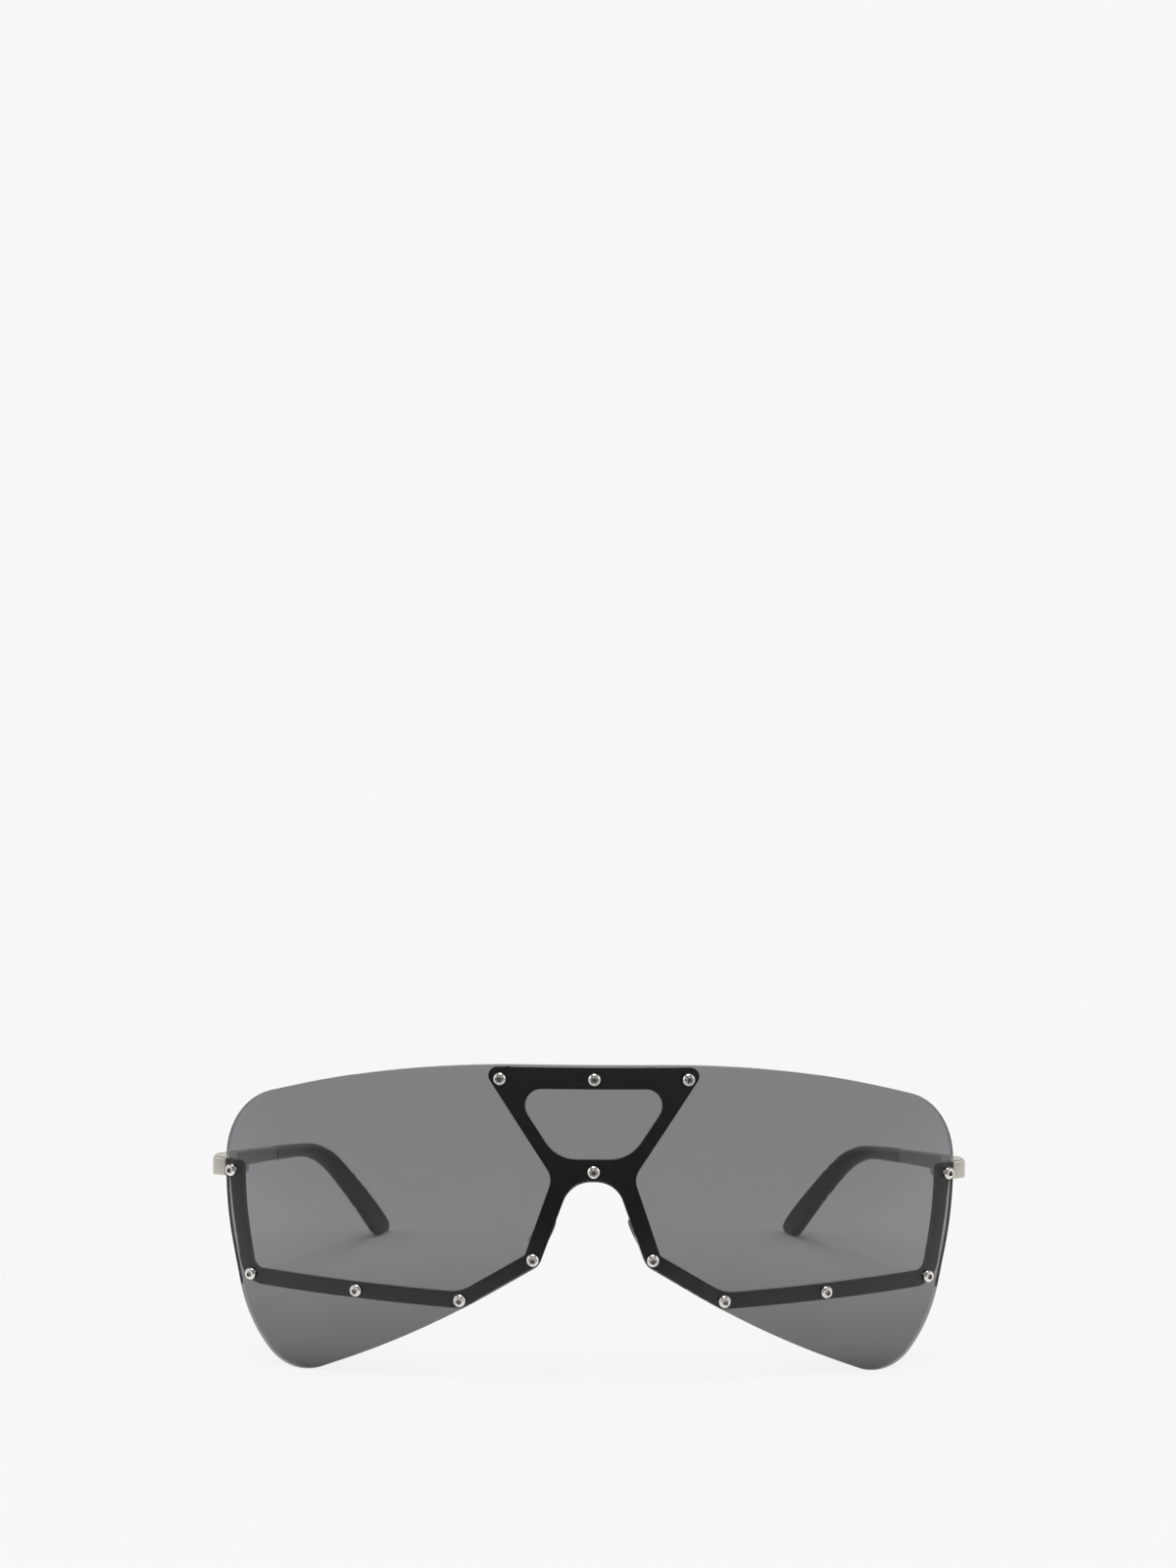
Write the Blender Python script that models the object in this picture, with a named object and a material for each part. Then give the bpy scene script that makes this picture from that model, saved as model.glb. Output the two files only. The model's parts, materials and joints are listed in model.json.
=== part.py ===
"""Shield sunglasses with a screwed-on lens, modelled piece by piece in metres.

One curved lens stands in front of a frame cut from sheet metal. Both follow upright
cylinders about one axis. Fourteen screws, each square to the lens, hold the two together
over short spacers. Two end pieces carry the hinges of the temples, whose cores run on
inside plastic tips, and two nose pads rock on arms behind the frame.

X runs across the face, Y from the lens back to the ears and Z up. The sunglasses rest on
the lower corners of the lens and on the temple tips, with the origin under their middle.
"""

import math

import bmesh
import bpy
from mathutils import Matrix, Vector

# Lens
LENS_RADIUS = 0.132
LENS_HALF_WIDTH = 0.0741
LENS_HEIGHT = 0.059
LENS_THICKNESS = 0.0015

# Frame sheet, its bars and the ear that carries each end piece
SHEET_THICKNESS = 0.0008
SHEET_GAP = 0.00095
BAR_WIDTH = 0.0029
EAR_HEIGHT = 0.0034
EAR_REACH = 0.0031
EAR_MARGIN = 0.0013
EAR_ROUND = 0.0011
EDGE_ROUND = 0.0004

# Screws and spacers
SCREW_HEAD_DIAMETER = 0.0023
SCREW_HEAD_HEIGHT = 0.0006
SCREW_HEAD_BEVEL = 0.0002
SCREW_KEY_WIDTH = 0.0010
SCREW_KEY_DEPTH = 0.0004
SHANK_DIAMETER = 0.0009
SCREW_CLEARANCE = 0.00015
SEAT_GAP = 0.00015
SPACER_DIAMETER = 0.002

# End pieces and hinges
BLOCK_HEIGHT = 0.0036
BLOCK_OUTSTAND = 0.00274
LUG_THICKNESS = 0.001
LUG_HEIGHT = 0.0024
BLOCK_ROUND = 0.0004
HINGE_SETBACK = 0.00584
KNUCKLE_DIAMETER = 0.003
KNUCKLE_HEIGHT = 0.001
KNUCKLE_CLEARANCE = 0.0003
HINGE_SCREW_DIAMETER = 0.001
HINGE_HEAD_DIAMETER = 0.0018
HINGE_HEAD_HEIGHT = 0.0004
HINGE_SLOT_WIDTH = 0.0003
HINGE_SLOT_DEPTH = 0.0002

# Temples
ARM_LENGTH = 0.050
ARM_FRONT_HEIGHT = 0.0035
ARM_REAR_HEIGHT = 0.0028
ARM_THICKNESS = 0.0016
ARM_CHAMFER = 0.0003
BUTT_GAP = 0.0003
TEMPLE_RUN = 0.1272
TEMPLE_TOE_IN = math.radians(3)
TEMPLE_BOW_RADIUS = 0.483
TEMPLE_SWAY = math.radians(1.15)
CORE_DIAMETER = 0.0014
CORE_LENGTH = 0.050
CORE_CLEARANCE = 0.00025
CORE_END_GAP = 0.001
TIP_THICKNESS = 0.0028
TIP_NECK_HEIGHT = 0.00325
TIP_PADDLE_HEIGHT = 0.0063
TIP_NOSE_ROUND = 0.0004

# Nose pads and the arms that carry them
PAD_LENGTH = 0.010
PAD_WIDTH = 0.0065
PAD_THICKNESS = 0.0012
PAD_SPLAY = math.radians(30)
PAD_FLARE = math.radians(8)
PAD_OFFSET = 0.00163
PAD_STANDOFF = 0.0055
PAD_DROP = 0.00695
TAB_THICKNESS = 0.0009
TAB_LENGTH = 0.0012
BOX_WALL = 0.0003
BOX_DEPTH = 0.00112
BOX_LENGTH = 0.002
PAD_SCREW_DIAMETER = 0.0005
PAD_SCREW_HEAD_DIAMETER = 0.0012
PAD_SCREW_HEAD_HEIGHT = 0.0003
PAD_CLEARANCE = 0.00015
PAD_ARM_DIAMETER = 0.0008

# Modelling values: the overrun of every cut, the chord error of arcs and the strips of a sheet
OVERRUN = 0.001
ARC_TOLERANCE = 0.00003
COLUMN_STEP = 0.0042
TEMPLE_STEP = 0.00003
HOLE_SIDES = 14
SCREW_SIDES = 12
SPACER_SIDES = 14
KNUCKLE_SIDES = 28
WEB_INSET_SHARE = 0.25
TIP_SIDES = 12
TIP_POWER = 0.75
TIP_WAIST_SHARE = 0.21
PAD_SIDES = 20
PAD_POWER = 0.8
WIRE_SIDES = 8
SMOOTH_ANGLE = math.radians(32)

# Corners of the flat lens: shares of its half width and height, and of its height for the fillet
LENS_TOP_SHARES = (
    (0, 1, 0),
    (0.486, 1, 3.25),
    (1, 0.843, 0.237),
    (1, 0.498, 1.085),
    (0.930, 0.145, 0.441),
    (0.798, -0.0365, 0.180),
    (0.4386, 0.139, 3.39),
)
# The nose edge, which the lens and the frame have in common
NOSE_EDGE_SHARES = (
    (0.135, 0.366, 0.051),
    (0.0575, 0.632, 0.093),
    (0, 0.632, 0),
)
# Outer corners of the frame, in the same shares, from the end of the ear to the nose edge
FRAME_SIDE_SHARES = (
    (0.995, 0.473, 1.017),
    (0.9595, 0.248, 0.093),
    (0.3374, 0.217, 0.034),
)
FRAME_TOP_SHARES = (0.2906, 0.988, 0.0273)
# Where the side bar runs into the foot of the ear, as a share of the ear's reach past its screw
EAR_FOOT_SHARE = 0.58
# Corners of the eye opening: shares of the bar width from the outer corner opposite, and fillets
EYE_CORNER_SHARES = (
    ((1.203, 0.159), 0.061),
    ((1, 0.517), 0.017),
    ((0.148, 1.038), 0.136),
    ((-0.810, 1.021), 0.037),
    ((-0.914, 0.379), 1.017),
)
# Corners of the bridge window: the upper from the frame's top corner, the lower from the nose arch
WINDOW_TOP_SHARES = ((-1.941, -1.369), 0.054)
WINDOW_FOOT_SHARES = ((0.945, 1.334), 0.1217)

# Screw sites, in shares of the lens's half width and height
CENTRE_SITE_SHARES = (("top_middle", 0, 0.956), ("bridge", 0, 0.664))
PAIRED_SITE_SHARES = (
    ("top", 0.238, 0.955),
    ("nose", 0.151, 0.384),
    ("lower", 0.336, 0.249),
    ("cheek", 0.611, 0.262),
    ("corner", 0.9175, 0.283),
)
END_SITE_SHARES = (0.9825, 0.6136)

# Side view of a temple: shares of its run, of the hinge's height and of the paddle's height
TEMPLE_PATH_SHARES = (
    (0, 1, 0.506),
    (0.165, 0.936, 0.506),
    (0.385, 0.851, 0.53),
    (0.550, 0.786, 0.45),
    (0.605, 0.754, 0.53),
    (0.660, 0.703, 0.61),
    (0.715, 0.629, 0.72),
    (0.778, 0.511, 0.81),
    (0.833, 0.396, 0.88),
    (0.921, 0.195, 1),
    (1, -0.015, 1),
)
# The rounded end of a tip: share of the paddle's height before the end, lower edge, upper edge, thickness
TIP_END_SHARES = (
    (1.57, -0.50, 0.50, 1),
    (0.95, -0.50, 0.53, 0.98),
    (0.62, -0.45, 0.55, 0.93),
    (0.24, -0.02, 0.55, 0.76),
    (0.05, 0.17, 0.46, 0.44),
)
ARM_STATION_SHARES = (0, 0.04, 0.2, 0.4, 0.6, 0.8, 1)
TIP_STATIONS = 14
CORE_STATIONS = 8

# Route of a pad arm, from the frame to its box: shares of the way across, back and down
PAD_ARM_SHARES = (
    (0, 0, 0),
    (0, 0.35, -0.10),
    (0, 0.72, -0.08),
    (0.12, 1.00, 0.16),
    (0.52, 1.08, 0.60),
    (1, 1, 1),
)
PAD_ARM_ROOT_SHARES = (0.106, 0.536)
# Section of a nose pad through its thickness: share of the thickness, share of the outline
PAD_SECTION_SHARES = ((-0.5, 0.80), (-0.35, 0.95), (0, 1), (0.3, 0.93), (0.5, 0.66))

FRAME_DEPTH = LENS_THICKNESS + SHEET_GAP
SHEET_BACK = FRAME_DEPTH + SHEET_THICKNESS
LUG_DEPTH = SHEET_BACK + 2 * SEAT_GAP
HOLE_DIAMETER = SHANK_DIAMETER + 2 * SCREW_CLEARANCE


def clear_scene():
    for thing in list(bpy.data.objects):
        bpy.data.objects.remove(thing)


def material(name, colour, metallic, roughness, alpha=1.0):
    """A plain Principled material."""
    made = bpy.data.materials.new(name)
    made.use_nodes = True
    shader = made.node_tree.nodes["Principled BSDF"]
    shader.inputs["Base Color"].default_value = (*colour, 1)
    shader.inputs["Metallic"].default_value = metallic
    shader.inputs["Roughness"].default_value = roughness
    shader.inputs["Alpha"].default_value = alpha
    made.diffuse_color = (*colour, alpha)
    return made


def new_mesh(name, points, faces):
    """A closed mesh from points and faces, with its faces turned to point out."""
    mesh = bpy.data.meshes.new(name)
    work = bmesh.new()
    corners = [work.verts.new(point) for point in points]
    for face in faces:
        work.faces.new([corners[index] for index in face])
    bmesh.ops.recalc_face_normals(work, faces=work.faces)
    work.to_mesh(mesh)
    work.free()
    return mesh


def loft(name, rings):
    """A solid through rings of equally many points, closed at both ends."""
    count = len(rings[0])
    points = [point for ring in rings for point in ring]
    faces = []
    for ring in range(len(rings) - 1):
        for side in range(count):
            near = ring * count
            turn = (side + 1) % count
            faces.append((near + side, near + turn, near + count + turn, near + count + side))
    faces.append(tuple(range(count)))
    faces.append(tuple(range(len(points) - count, len(points))))
    return new_mesh(name, points, faces)


def prism(name, outline, start, end):
    """An outline of (across, up) points drawn out from one depth to another."""
    return loft(name, [[Vector((x, y, z)) for x, z in outline] for y in (start, end)])


def turned(name, profile, sides):
    """A solid of revolution about Z, from (radius, height, hexagonal) rows, bottom to top."""
    rings = []
    for radius, height, hexagonal in profile:
        ring = []
        for side in range(sides):
            angle = math.tau * side / sides
            reach = radius
            if hexagonal:
                reach = radius / math.cos(angle % (math.tau / 6) - math.tau / 12)
            ring.append(Vector((reach * math.cos(angle), reach * math.sin(angle), height)))
        rings.append(ring)
    return loft(name, rings)


def place(name, mesh, look, parent, matrix=None):
    """One named object, shaded smooth but for its sharp edges."""
    thing = bpy.data.objects.new(name, mesh)
    bpy.context.scene.collection.objects.link(thing)
    if not mesh.materials:
        mesh.materials.append(look)
    mesh.shade_smooth()
    mesh.set_sharp_from_angle(angle=SMOOTH_ANGLE)
    thing.parent = parent
    if matrix is not None:
        thing.matrix_basis = matrix
    return thing


def combine(base, tools, operation):
    """The mesh left when each tool is cut from, joined to or kept in common with the base."""
    for tool in tools:
        body = bpy.data.objects.new("body", base)
        other = bpy.data.objects.new("tool", tool)
        for thing in (body, other):
            bpy.context.scene.collection.objects.link(thing)
        step = body.modifiers.new("combine", "BOOLEAN")
        step.operation = operation
        step.solver = "EXACT"
        step.object = other
        graph = bpy.context.evaluated_depsgraph_get()
        base = bpy.data.meshes.new_from_object(body.evaluated_get(graph))
        bpy.data.objects.remove(body)
        bpy.data.objects.remove(other)
    return base


def moved(mesh, matrix):
    """The mesh in another place; a mirroring matrix also turns its faces round."""
    mesh.transform(matrix)
    if matrix.determinant() < 0:
        mesh.flip_normals()
    return mesh


def other_side(mesh):
    """A copy of a right-hand mesh for the left-hand side."""
    return moved(mesh.copy(), Matrix.Scale(-1, 4, Vector((1, 0, 0))))


def rounded(corners):
    """Points along the legs between (across, up, radius) corners, each corner an arc.

    Where two arcs would meet on a short leg, both shrink to fit it.
    """
    places = [Vector(corner[:2]) for corner in corners]
    reaches = [0.0] * len(corners)
    for index in range(1, len(corners) - 1):
        before = (places[index - 1] - places[index]).normalized()
        after = (places[index + 1] - places[index]).normalized()
        half_turn = (math.pi - before.angle(after)) / 2
        reaches[index] = corners[index][2] * math.tan(half_turn)
    fits = [1.0] * len(corners)
    for index in range(len(corners) - 1):
        leg = (places[index + 1] - places[index]).length
        wanted = reaches[index] + reaches[index + 1]
        if wanted > leg:
            fits[index] = min(fits[index], leg / wanted)
            fits[index + 1] = min(fits[index + 1], leg / wanted)
    points = [places[0]]
    for index in range(1, len(corners) - 1):
        before = (places[index - 1] - places[index]).normalized()
        after = (places[index + 1] - places[index]).normalized()
        half_turn = (math.pi - before.angle(after)) / 2
        reach = reaches[index] * fits[index]
        radius = reach / math.tan(half_turn)
        if radius <= ARC_TOLERANCE:
            points.append(places[index])
            continue
        step = 2 * math.acos(1 - ARC_TOLERANCE / radius)
        count = max(1, math.ceil(2 * half_turn / step))
        start = places[index] + before * reach
        end = places[index] + after * reach
        centre = places[index] + (before + after).normalized() * math.hypot(reach, radius)
        first = start - centre
        sweep = first.angle_signed(end - centre)
        for part in range(count + 1):
            turn = Matrix.Rotation(-sweep * part / count, 2)
            points.append(centre + turn @ first)
    points.append(places[-1])
    return without_repeats(points)


def without_repeats(points):
    """The points without any that falls on the one before it."""
    kept = [points[0]]
    for point in points[1:]:
        if (point - kept[-1]).length > ARC_TOLERANCE:
            kept.append(point)
    return kept


def both_halves(half):
    """A closed outline from its right half, whose first and last points lie on the middle."""
    left = [Vector((-x, z)) for x, z in reversed(half[1:-1])]
    return [tuple(point) for point in half + left]


def on_lens(shares):
    """A (across, up, radius) corner from shares of the lens's size."""
    across, up, radius = shares
    return (across * LENS_HALF_WIDTH, up * LENS_HEIGHT, radius * LENS_HEIGHT)


def site(shares):
    """The flat (across, up) place of a screw."""
    return (shares[0] * LENS_HALF_WIDTH, shares[1] * LENS_HEIGHT)


def beside(corner, shares):
    """A corner set off from another by shares of the bar width."""
    (across, up), radius = shares
    return (corner[0] + across * BAR_WIDTH, corner[1] + up * BAR_WIDTH, radius * LENS_HEIGHT)


def lens_outline():
    corners = [on_lens(row) for row in LENS_TOP_SHARES + NOSE_EDGE_SHARES]
    return both_halves(rounded(corners))


def frame_outlines():
    """The frame's outer edge and its bridge window, drawn flat."""
    end_across, end_up = site(END_SITE_SHARES)
    ear_top = end_up + EAR_HEIGHT / 2
    ear_foot = end_up - EAR_HEIGHT / 2
    ear_end = end_across + EAR_REACH
    side = [on_lens(row) for row in FRAME_SIDE_SHARES]
    nose = [on_lens(row) for row in NOSE_EDGE_SHARES]
    top = on_lens(FRAME_TOP_SHARES)
    opposite = (nose[1], nose[0], side[2], side[1], side[0])
    eye = [beside(corner, row) for corner, row in zip(opposite, EYE_CORNER_SHARES)]
    foot_across = end_across + EAR_REACH * EAR_FOOT_SHARE
    corners = [
        (0, top[1], 0),
        top,
        *eye,
        (end_across - EAR_MARGIN, ear_top, EAR_ROUND),
        (ear_end, ear_top, EDGE_ROUND),
        (ear_end, ear_foot, EDGE_ROUND),
        (foot_across, ear_foot, EDGE_ROUND),
        *side,
        *nose,
    ]
    window_top = beside(top, WINDOW_TOP_SHARES)
    window_foot = beside(nose[1], WINDOW_FOOT_SHARES)
    window = [
        (0, window_top[1], 0),
        window_top,
        window_foot,
        (0, window_foot[1], 0),
    ]
    return both_halves(rounded(corners)), both_halves(rounded(window))


def bend(point):
    """Wraps a flat point (across, depth, up) round the lens's axis."""
    angle = point[0] / LENS_RADIUS
    radius = LENS_RADIUS - point[1]
    return Vector((radius * math.sin(angle), LENS_RADIUS - radius * math.cos(angle), point[2]))


def seat(across, up):
    """Where a screw sits: on the lens's face, with its own Z pointing straight out of it."""
    turn = Matrix.Rotation(across / LENS_RADIUS, 4, "Z") @ Matrix.Rotation(math.pi / 2, 4, "X")
    return Matrix.Translation(bend((across, 0, up))) @ turn


def screw_sites():
    """Names and flat places of all the screws: (name, across, up)."""
    sites = [(name, *site(shares)) for name, *shares in CENTRE_SITE_SHARES]
    for name, *shares in (*PAIRED_SITE_SHARES, ("end", *END_SITE_SHARES)):
        across, up = site(shares)
        sites.append((name + "_right", across, up))
        sites.append((name + "_left", -across, up))
    return sites


def bent_sheet(name, outline, windows, depth, thickness):
    """A sheet cut to an outline, drilled at every screw site, then bent round the lens's axis."""
    widest = max(x for x, _ in outline) + OVERRUN
    lowest = min(z for _, z in outline) - OVERRUN
    highest = max(z for _, z in outline) + OVERRUN
    count = math.ceil(widest / COLUMN_STEP)
    back = depth + thickness
    strips = []
    for column in range(-count, count + 1):
        x = column * widest / count
        corners = ((depth, lowest), (back, lowest), (back, highest), (depth, highest))
        strips.append([Vector((x, y, z)) for y, z in corners])
    blank = loft(name, strips)
    front = depth - OVERRUN
    rear = back + OVERRUN
    sheet = combine(blank, [prism("outline", outline, front, rear)], "INTERSECT")
    cuts = [prism("window", window, front, rear) for window in windows]
    radius = HOLE_DIAMETER / 2
    for _, across, up in screw_sites():
        ring = []
        for side in range(HOLE_SIDES):
            angle = math.tau * side / HOLE_SIDES
            ring.append((across + radius * math.cos(angle), up + radius * math.sin(angle)))
        cuts.append(prism("hole", ring, front, rear))
    sheet = combine(sheet, cuts, "DIFFERENCE")
    for corner in sheet.vertices:
        corner.co = bend(corner.co)
    return sheet


def screw_mesh(name, length):
    """A cap screw with a bevelled head and a hexagonal socket, its seat at height zero."""
    head = SCREW_HEAD_DIAMETER / 2
    top = SEAT_GAP + SCREW_HEAD_HEIGHT
    key = SCREW_KEY_WIDTH / 2
    profile = (
        (SHANK_DIAMETER / 2, -length, False),
        (SHANK_DIAMETER / 2, SEAT_GAP, False),
        (head, SEAT_GAP, False),
        (head, top - SCREW_HEAD_BEVEL, False),
        (head - SCREW_HEAD_BEVEL, top, False),
        (key, top, True),
        (key, top - SCREW_KEY_DEPTH, True),
    )
    return turned(name, profile, SCREW_SIDES)


def ring_mesh(name, bore, outside, bottom, top, sides):
    """A round sleeve with a through bore."""
    tube = turned(name, ((outside, bottom, False), (outside, top, False)), sides)
    core = turned(name, ((bore, bottom - OVERRUN, False), (bore, top + OVERRUN, False)), sides)
    return combine(tube, [core], "DIFFERENCE")


def screws_and_spacers(root, silver, dark):
    """Fourteen screws through lens, spacer and frame; the end screws also reach the end pieces."""
    short = screw_mesh("short_screw", SHEET_BACK)
    long = screw_mesh("long_screw", LUG_DEPTH + LUG_THICKNESS)
    spacer = ring_mesh(
        "spacer",
        HOLE_DIAMETER / 2,
        SPACER_DIAMETER / 2,
        SEAT_GAP - FRAME_DEPTH,
        -LENS_THICKNESS - SEAT_GAP,
        SPACER_SIDES,
    )
    for name, across, up in screw_sites():
        body = long if name.startswith("end_") else short
        place("screw_" + name, body, silver, root, seat(across, up))
        place("spacer_" + name, spacer, dark, root, seat(across, up))


def beside_ear(along, depth):
    """A (across, back) point set off from the right-hand end screw along the ear and behind the lens."""
    point = seat(*site(END_SITE_SHARES)) @ Vector((along, 0, -depth))
    return Vector((point.x, point.y))


def block_outer():
    """How far out the flat outer side of the right-hand block lies."""
    return beside_ear(EAR_REACH + SEAT_GAP, FRAME_DEPTH).x + BLOCK_OUTSTAND


def hinge_place():
    """The middle of the right-hand hinge: its arm's inner face clears the knuckles."""
    inner_face = block_outer() - ARM_THICKNESS
    across = inner_face - KNUCKLE_DIAMETER / 2 - KNUCKLE_CLEARANCE / 2
    back = beside_ear(EAR_REACH + SEAT_GAP, FRAME_DEPTH).y + HINGE_SETBACK
    return Vector((across, back, site(END_SITE_SHARES)[1]))


def block_outline():
    """Plan of the right-hand block: beside the end of the ear, behind it and back to the hinge."""
    past_ear = EAR_REACH + SEAT_GAP
    hinge = hinge_place()
    inner = hinge.x - KNUCKLE_DIAMETER / 2
    butt = hinge.y - BUTT_GAP / 2
    start = beside_ear(0, FRAME_DEPTH)
    along = beside_ear(past_ear, FRAME_DEPTH) - start
    front_corner = start + along * (block_outer() - start.x) / along.x
    behind = beside_ear(0, LUG_DEPTH + SEAT_GAP)
    inner_corner = behind + along * (inner - behind.x) / along.x
    return [
        tuple(inner_corner),
        tuple(beside_ear(past_ear, LUG_DEPTH + SEAT_GAP)),
        tuple(beside_ear(past_ear, FRAME_DEPTH)),
        tuple(front_corner),
        (block_outer(), butt),
        (inner, butt),
    ]


def lug_mesh():
    """The right-hand block's lug: a flat eye behind the ear, round about the end screw."""
    radius = LUG_HEIGHT / 2
    outline = [Vector((EAR_REACH, -radius, 0)), Vector((EAR_REACH, radius, 0))]
    for side in range(HOLE_SIDES + 1):
        angle = math.pi / 2 + math.pi * side / HOLE_SIDES
        outline.append(Vector((radius * math.cos(angle), radius * math.sin(angle), 0)))
    rings = []
    for depth in (LUG_DEPTH, LUG_DEPTH + LUG_THICKNESS):
        rings.append([point - Vector((0, 0, depth)) for point in outline])
    return moved(loft("lug", rings), seat(*site(END_SITE_SHARES)))


def rod(name, radius, bottom, top, sides, centre):
    """An upright cylinder about a centre."""
    mesh = turned(name, ((radius, bottom, False), (radius, top, False)), sides)
    return moved(mesh, Matrix.Translation(centre))


def slab(name, low, high):
    """A box between two opposite corners."""
    outline = ((low[0], low[2]), (high[0], low[2]), (high[0], high[2]), (low[0], high[2]))
    return prism(name, outline, low[1], high[1])


def bevelled(mesh, width):
    """The mesh with its edges rounded off."""
    work = bmesh.new()
    work.from_mesh(mesh)
    bmesh.ops.bevel(
        work,
        geom=work.edges,
        offset=width,
        offset_type="OFFSET",
        segments=2,
        profile=0.5,
        affect="EDGES",
        clamp_overlap=True,
    )
    work.to_mesh(mesh)
    work.free()
    return mesh


def end_piece_mesh():
    """The right-hand end piece, with two hinge knuckles, a slot and two drilled holes."""
    hinge = hinge_place()
    half = BLOCK_HEIGHT / 2
    plan = [[Vector((x, y, hinge.z + z)) for x, y in block_outline()] for z in (-half, half)]
    body = bevelled(loft("end_piece", plan), BLOCK_ROUND)
    knuckle = KNUCKLE_DIAMETER / 2
    post = rod("post", knuckle, -half, half, KNUCKLE_SIDES, hinge)
    inset = KNUCKLE_HEIGHT * WEB_INSET_SHARE
    web = slab(
        "web",
        (hinge.x - knuckle / 2, hinge.y - knuckle, hinge.z - half + inset),
        (hinge.x + knuckle / 2, hinge.y, hinge.z + half - inset),
    )
    body = combine(body, [lug_mesh(), web, post], "UNION")
    slot = KNUCKLE_HEIGHT / 2 + KNUCKLE_CLEARANCE
    radius = knuckle + KNUCKLE_CLEARANCE
    drill = turned(
        "drill",
        (
            (HOLE_DIAMETER / 2, -LUG_DEPTH - LUG_THICKNESS - OVERRUN, False),
            (HOLE_DIAMETER / 2, -SHEET_BACK, False),
        ),
        HOLE_SIDES,
    )
    bore = HINGE_SCREW_DIAMETER / 2 + SCREW_CLEARANCE
    sink = HINGE_HEAD_DIAMETER / 2 + SCREW_CLEARANCE / 2
    cuts = [
        rod("slot", radius, -slot, slot, KNUCKLE_SIDES, hinge),
        moved(drill, seat(*site(END_SITE_SHARES))),
        rod("bore", bore, -half - OVERRUN, half + OVERRUN, SCREW_SIDES, hinge),
        rod("sink", sink, half - HINGE_HEAD_HEIGHT - SEAT_GAP, half + OVERRUN, SCREW_SIDES, hinge),
    ]
    return combine(body, cuts, "DIFFERENCE")


def slotted_screw_mesh(name, shank, length, head, head_height, slot_width, slot_depth):
    """A small screw with a flat slotted head, its head's underside at height zero."""
    profile = (
        (shank, -length, False),
        (shank, 0, False),
        (head, 0, False),
        (head, head_height, False),
    )
    body = turned(name, profile, SCREW_SIDES)
    slot = slab(
        "slot",
        (-head - OVERRUN, -slot_width / 2, head_height - slot_depth),
        (head + OVERRUN, slot_width / 2, head_height + OVERRUN),
    )
    return combine(body, [slot], "DIFFERENCE")


def smooth_row(rows, share):
    """The row of a table at a share of its first column, on a smooth curve through the rows."""
    last = len(rows) - 2
    index = 0
    while index < last and share > rows[index + 1][0]:
        index += 1
    span = rows[index + 1][0] - rows[index][0]
    t = (share - rows[index][0]) / span
    result = []
    for column in range(1, len(rows[0])):
        ends = []
        for row in (index, index + 1):
            low = max(row - 1, 0)
            high = min(row + 1, len(rows) - 1)
            ends.append((rows[high][column] - rows[low][column]) / (rows[high][0] - rows[low][0]))
        a = rows[index][column]
        b = rows[index + 1][column]
        bend_a = ends[0] * span
        bend_b = ends[1] * span
        result.append(
            (1 + 2 * t) * (1 - t) ** 2 * a
            + t * (1 - t) ** 2 * bend_a
            + t * t * (3 - 2 * t) * b
            + t * t * (t - 1) * bend_b
        )
    return result


def temple_frame(run, lean):
    """Place of the temple's middle line at a run behind the hinge, its own axes and its height share.

    The place is measured from the hinge. The axes are out from the head, back and up.
    """
    hinge = hinge_place()

    def middle(distance):
        up_share, _ = smooth_row(TEMPLE_PATH_SHARES, distance / TEMPLE_RUN)
        inward = math.tan(TEMPLE_TOE_IN) * distance + distance**2 / (2 * TEMPLE_BOW_RADIUS)
        across = block_outer() - ARM_THICKNESS / 2 - hinge.x - inward
        return Vector((across, distance, (up_share - 1) * hinge.z - lean * distance))

    back = (middle(run + TEMPLE_STEP) - middle(run - TEMPLE_STEP)).normalized()
    out = back.cross(Vector((0, 0, 1))).normalized()
    _, height_share = smooth_row(TEMPLE_PATH_SHARES, run / TEMPLE_RUN)
    return middle(run), out, out.cross(back).normalized(), height_share


def section(place_axes, outline):
    """A ring of (out, up) points set square to the temple's middle line."""
    centre, out, up = place_axes
    return [centre + out * x + up * z for x, z in outline]


def chamfered(width, height, cut):
    """Eight corners of a rectangle with its corners cut off."""
    x = width / 2
    z = height / 2
    return [
        (x, cut - z),
        (x, z - cut),
        (x - cut, z),
        (cut - x, z),
        (-x, z - cut),
        (-x, cut - z),
        (cut - x, -z),
        (x - cut, -z),
    ]


def oval(width, bottom, top, sides, power):
    """A rounded section between a lower and an upper edge; power 1 makes it an ellipse."""
    middle = (bottom + top) / 2
    half = (top - bottom) / 2
    points = []
    for side in range(sides):
        angle = math.tau * (side + 0.5) / sides
        x = math.copysign(abs(math.cos(angle)) ** power, math.cos(angle))
        z = math.copysign(abs(math.sin(angle)) ** power, math.sin(angle))
        points.append((x * width / 2, middle + z * half))
    return points


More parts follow.
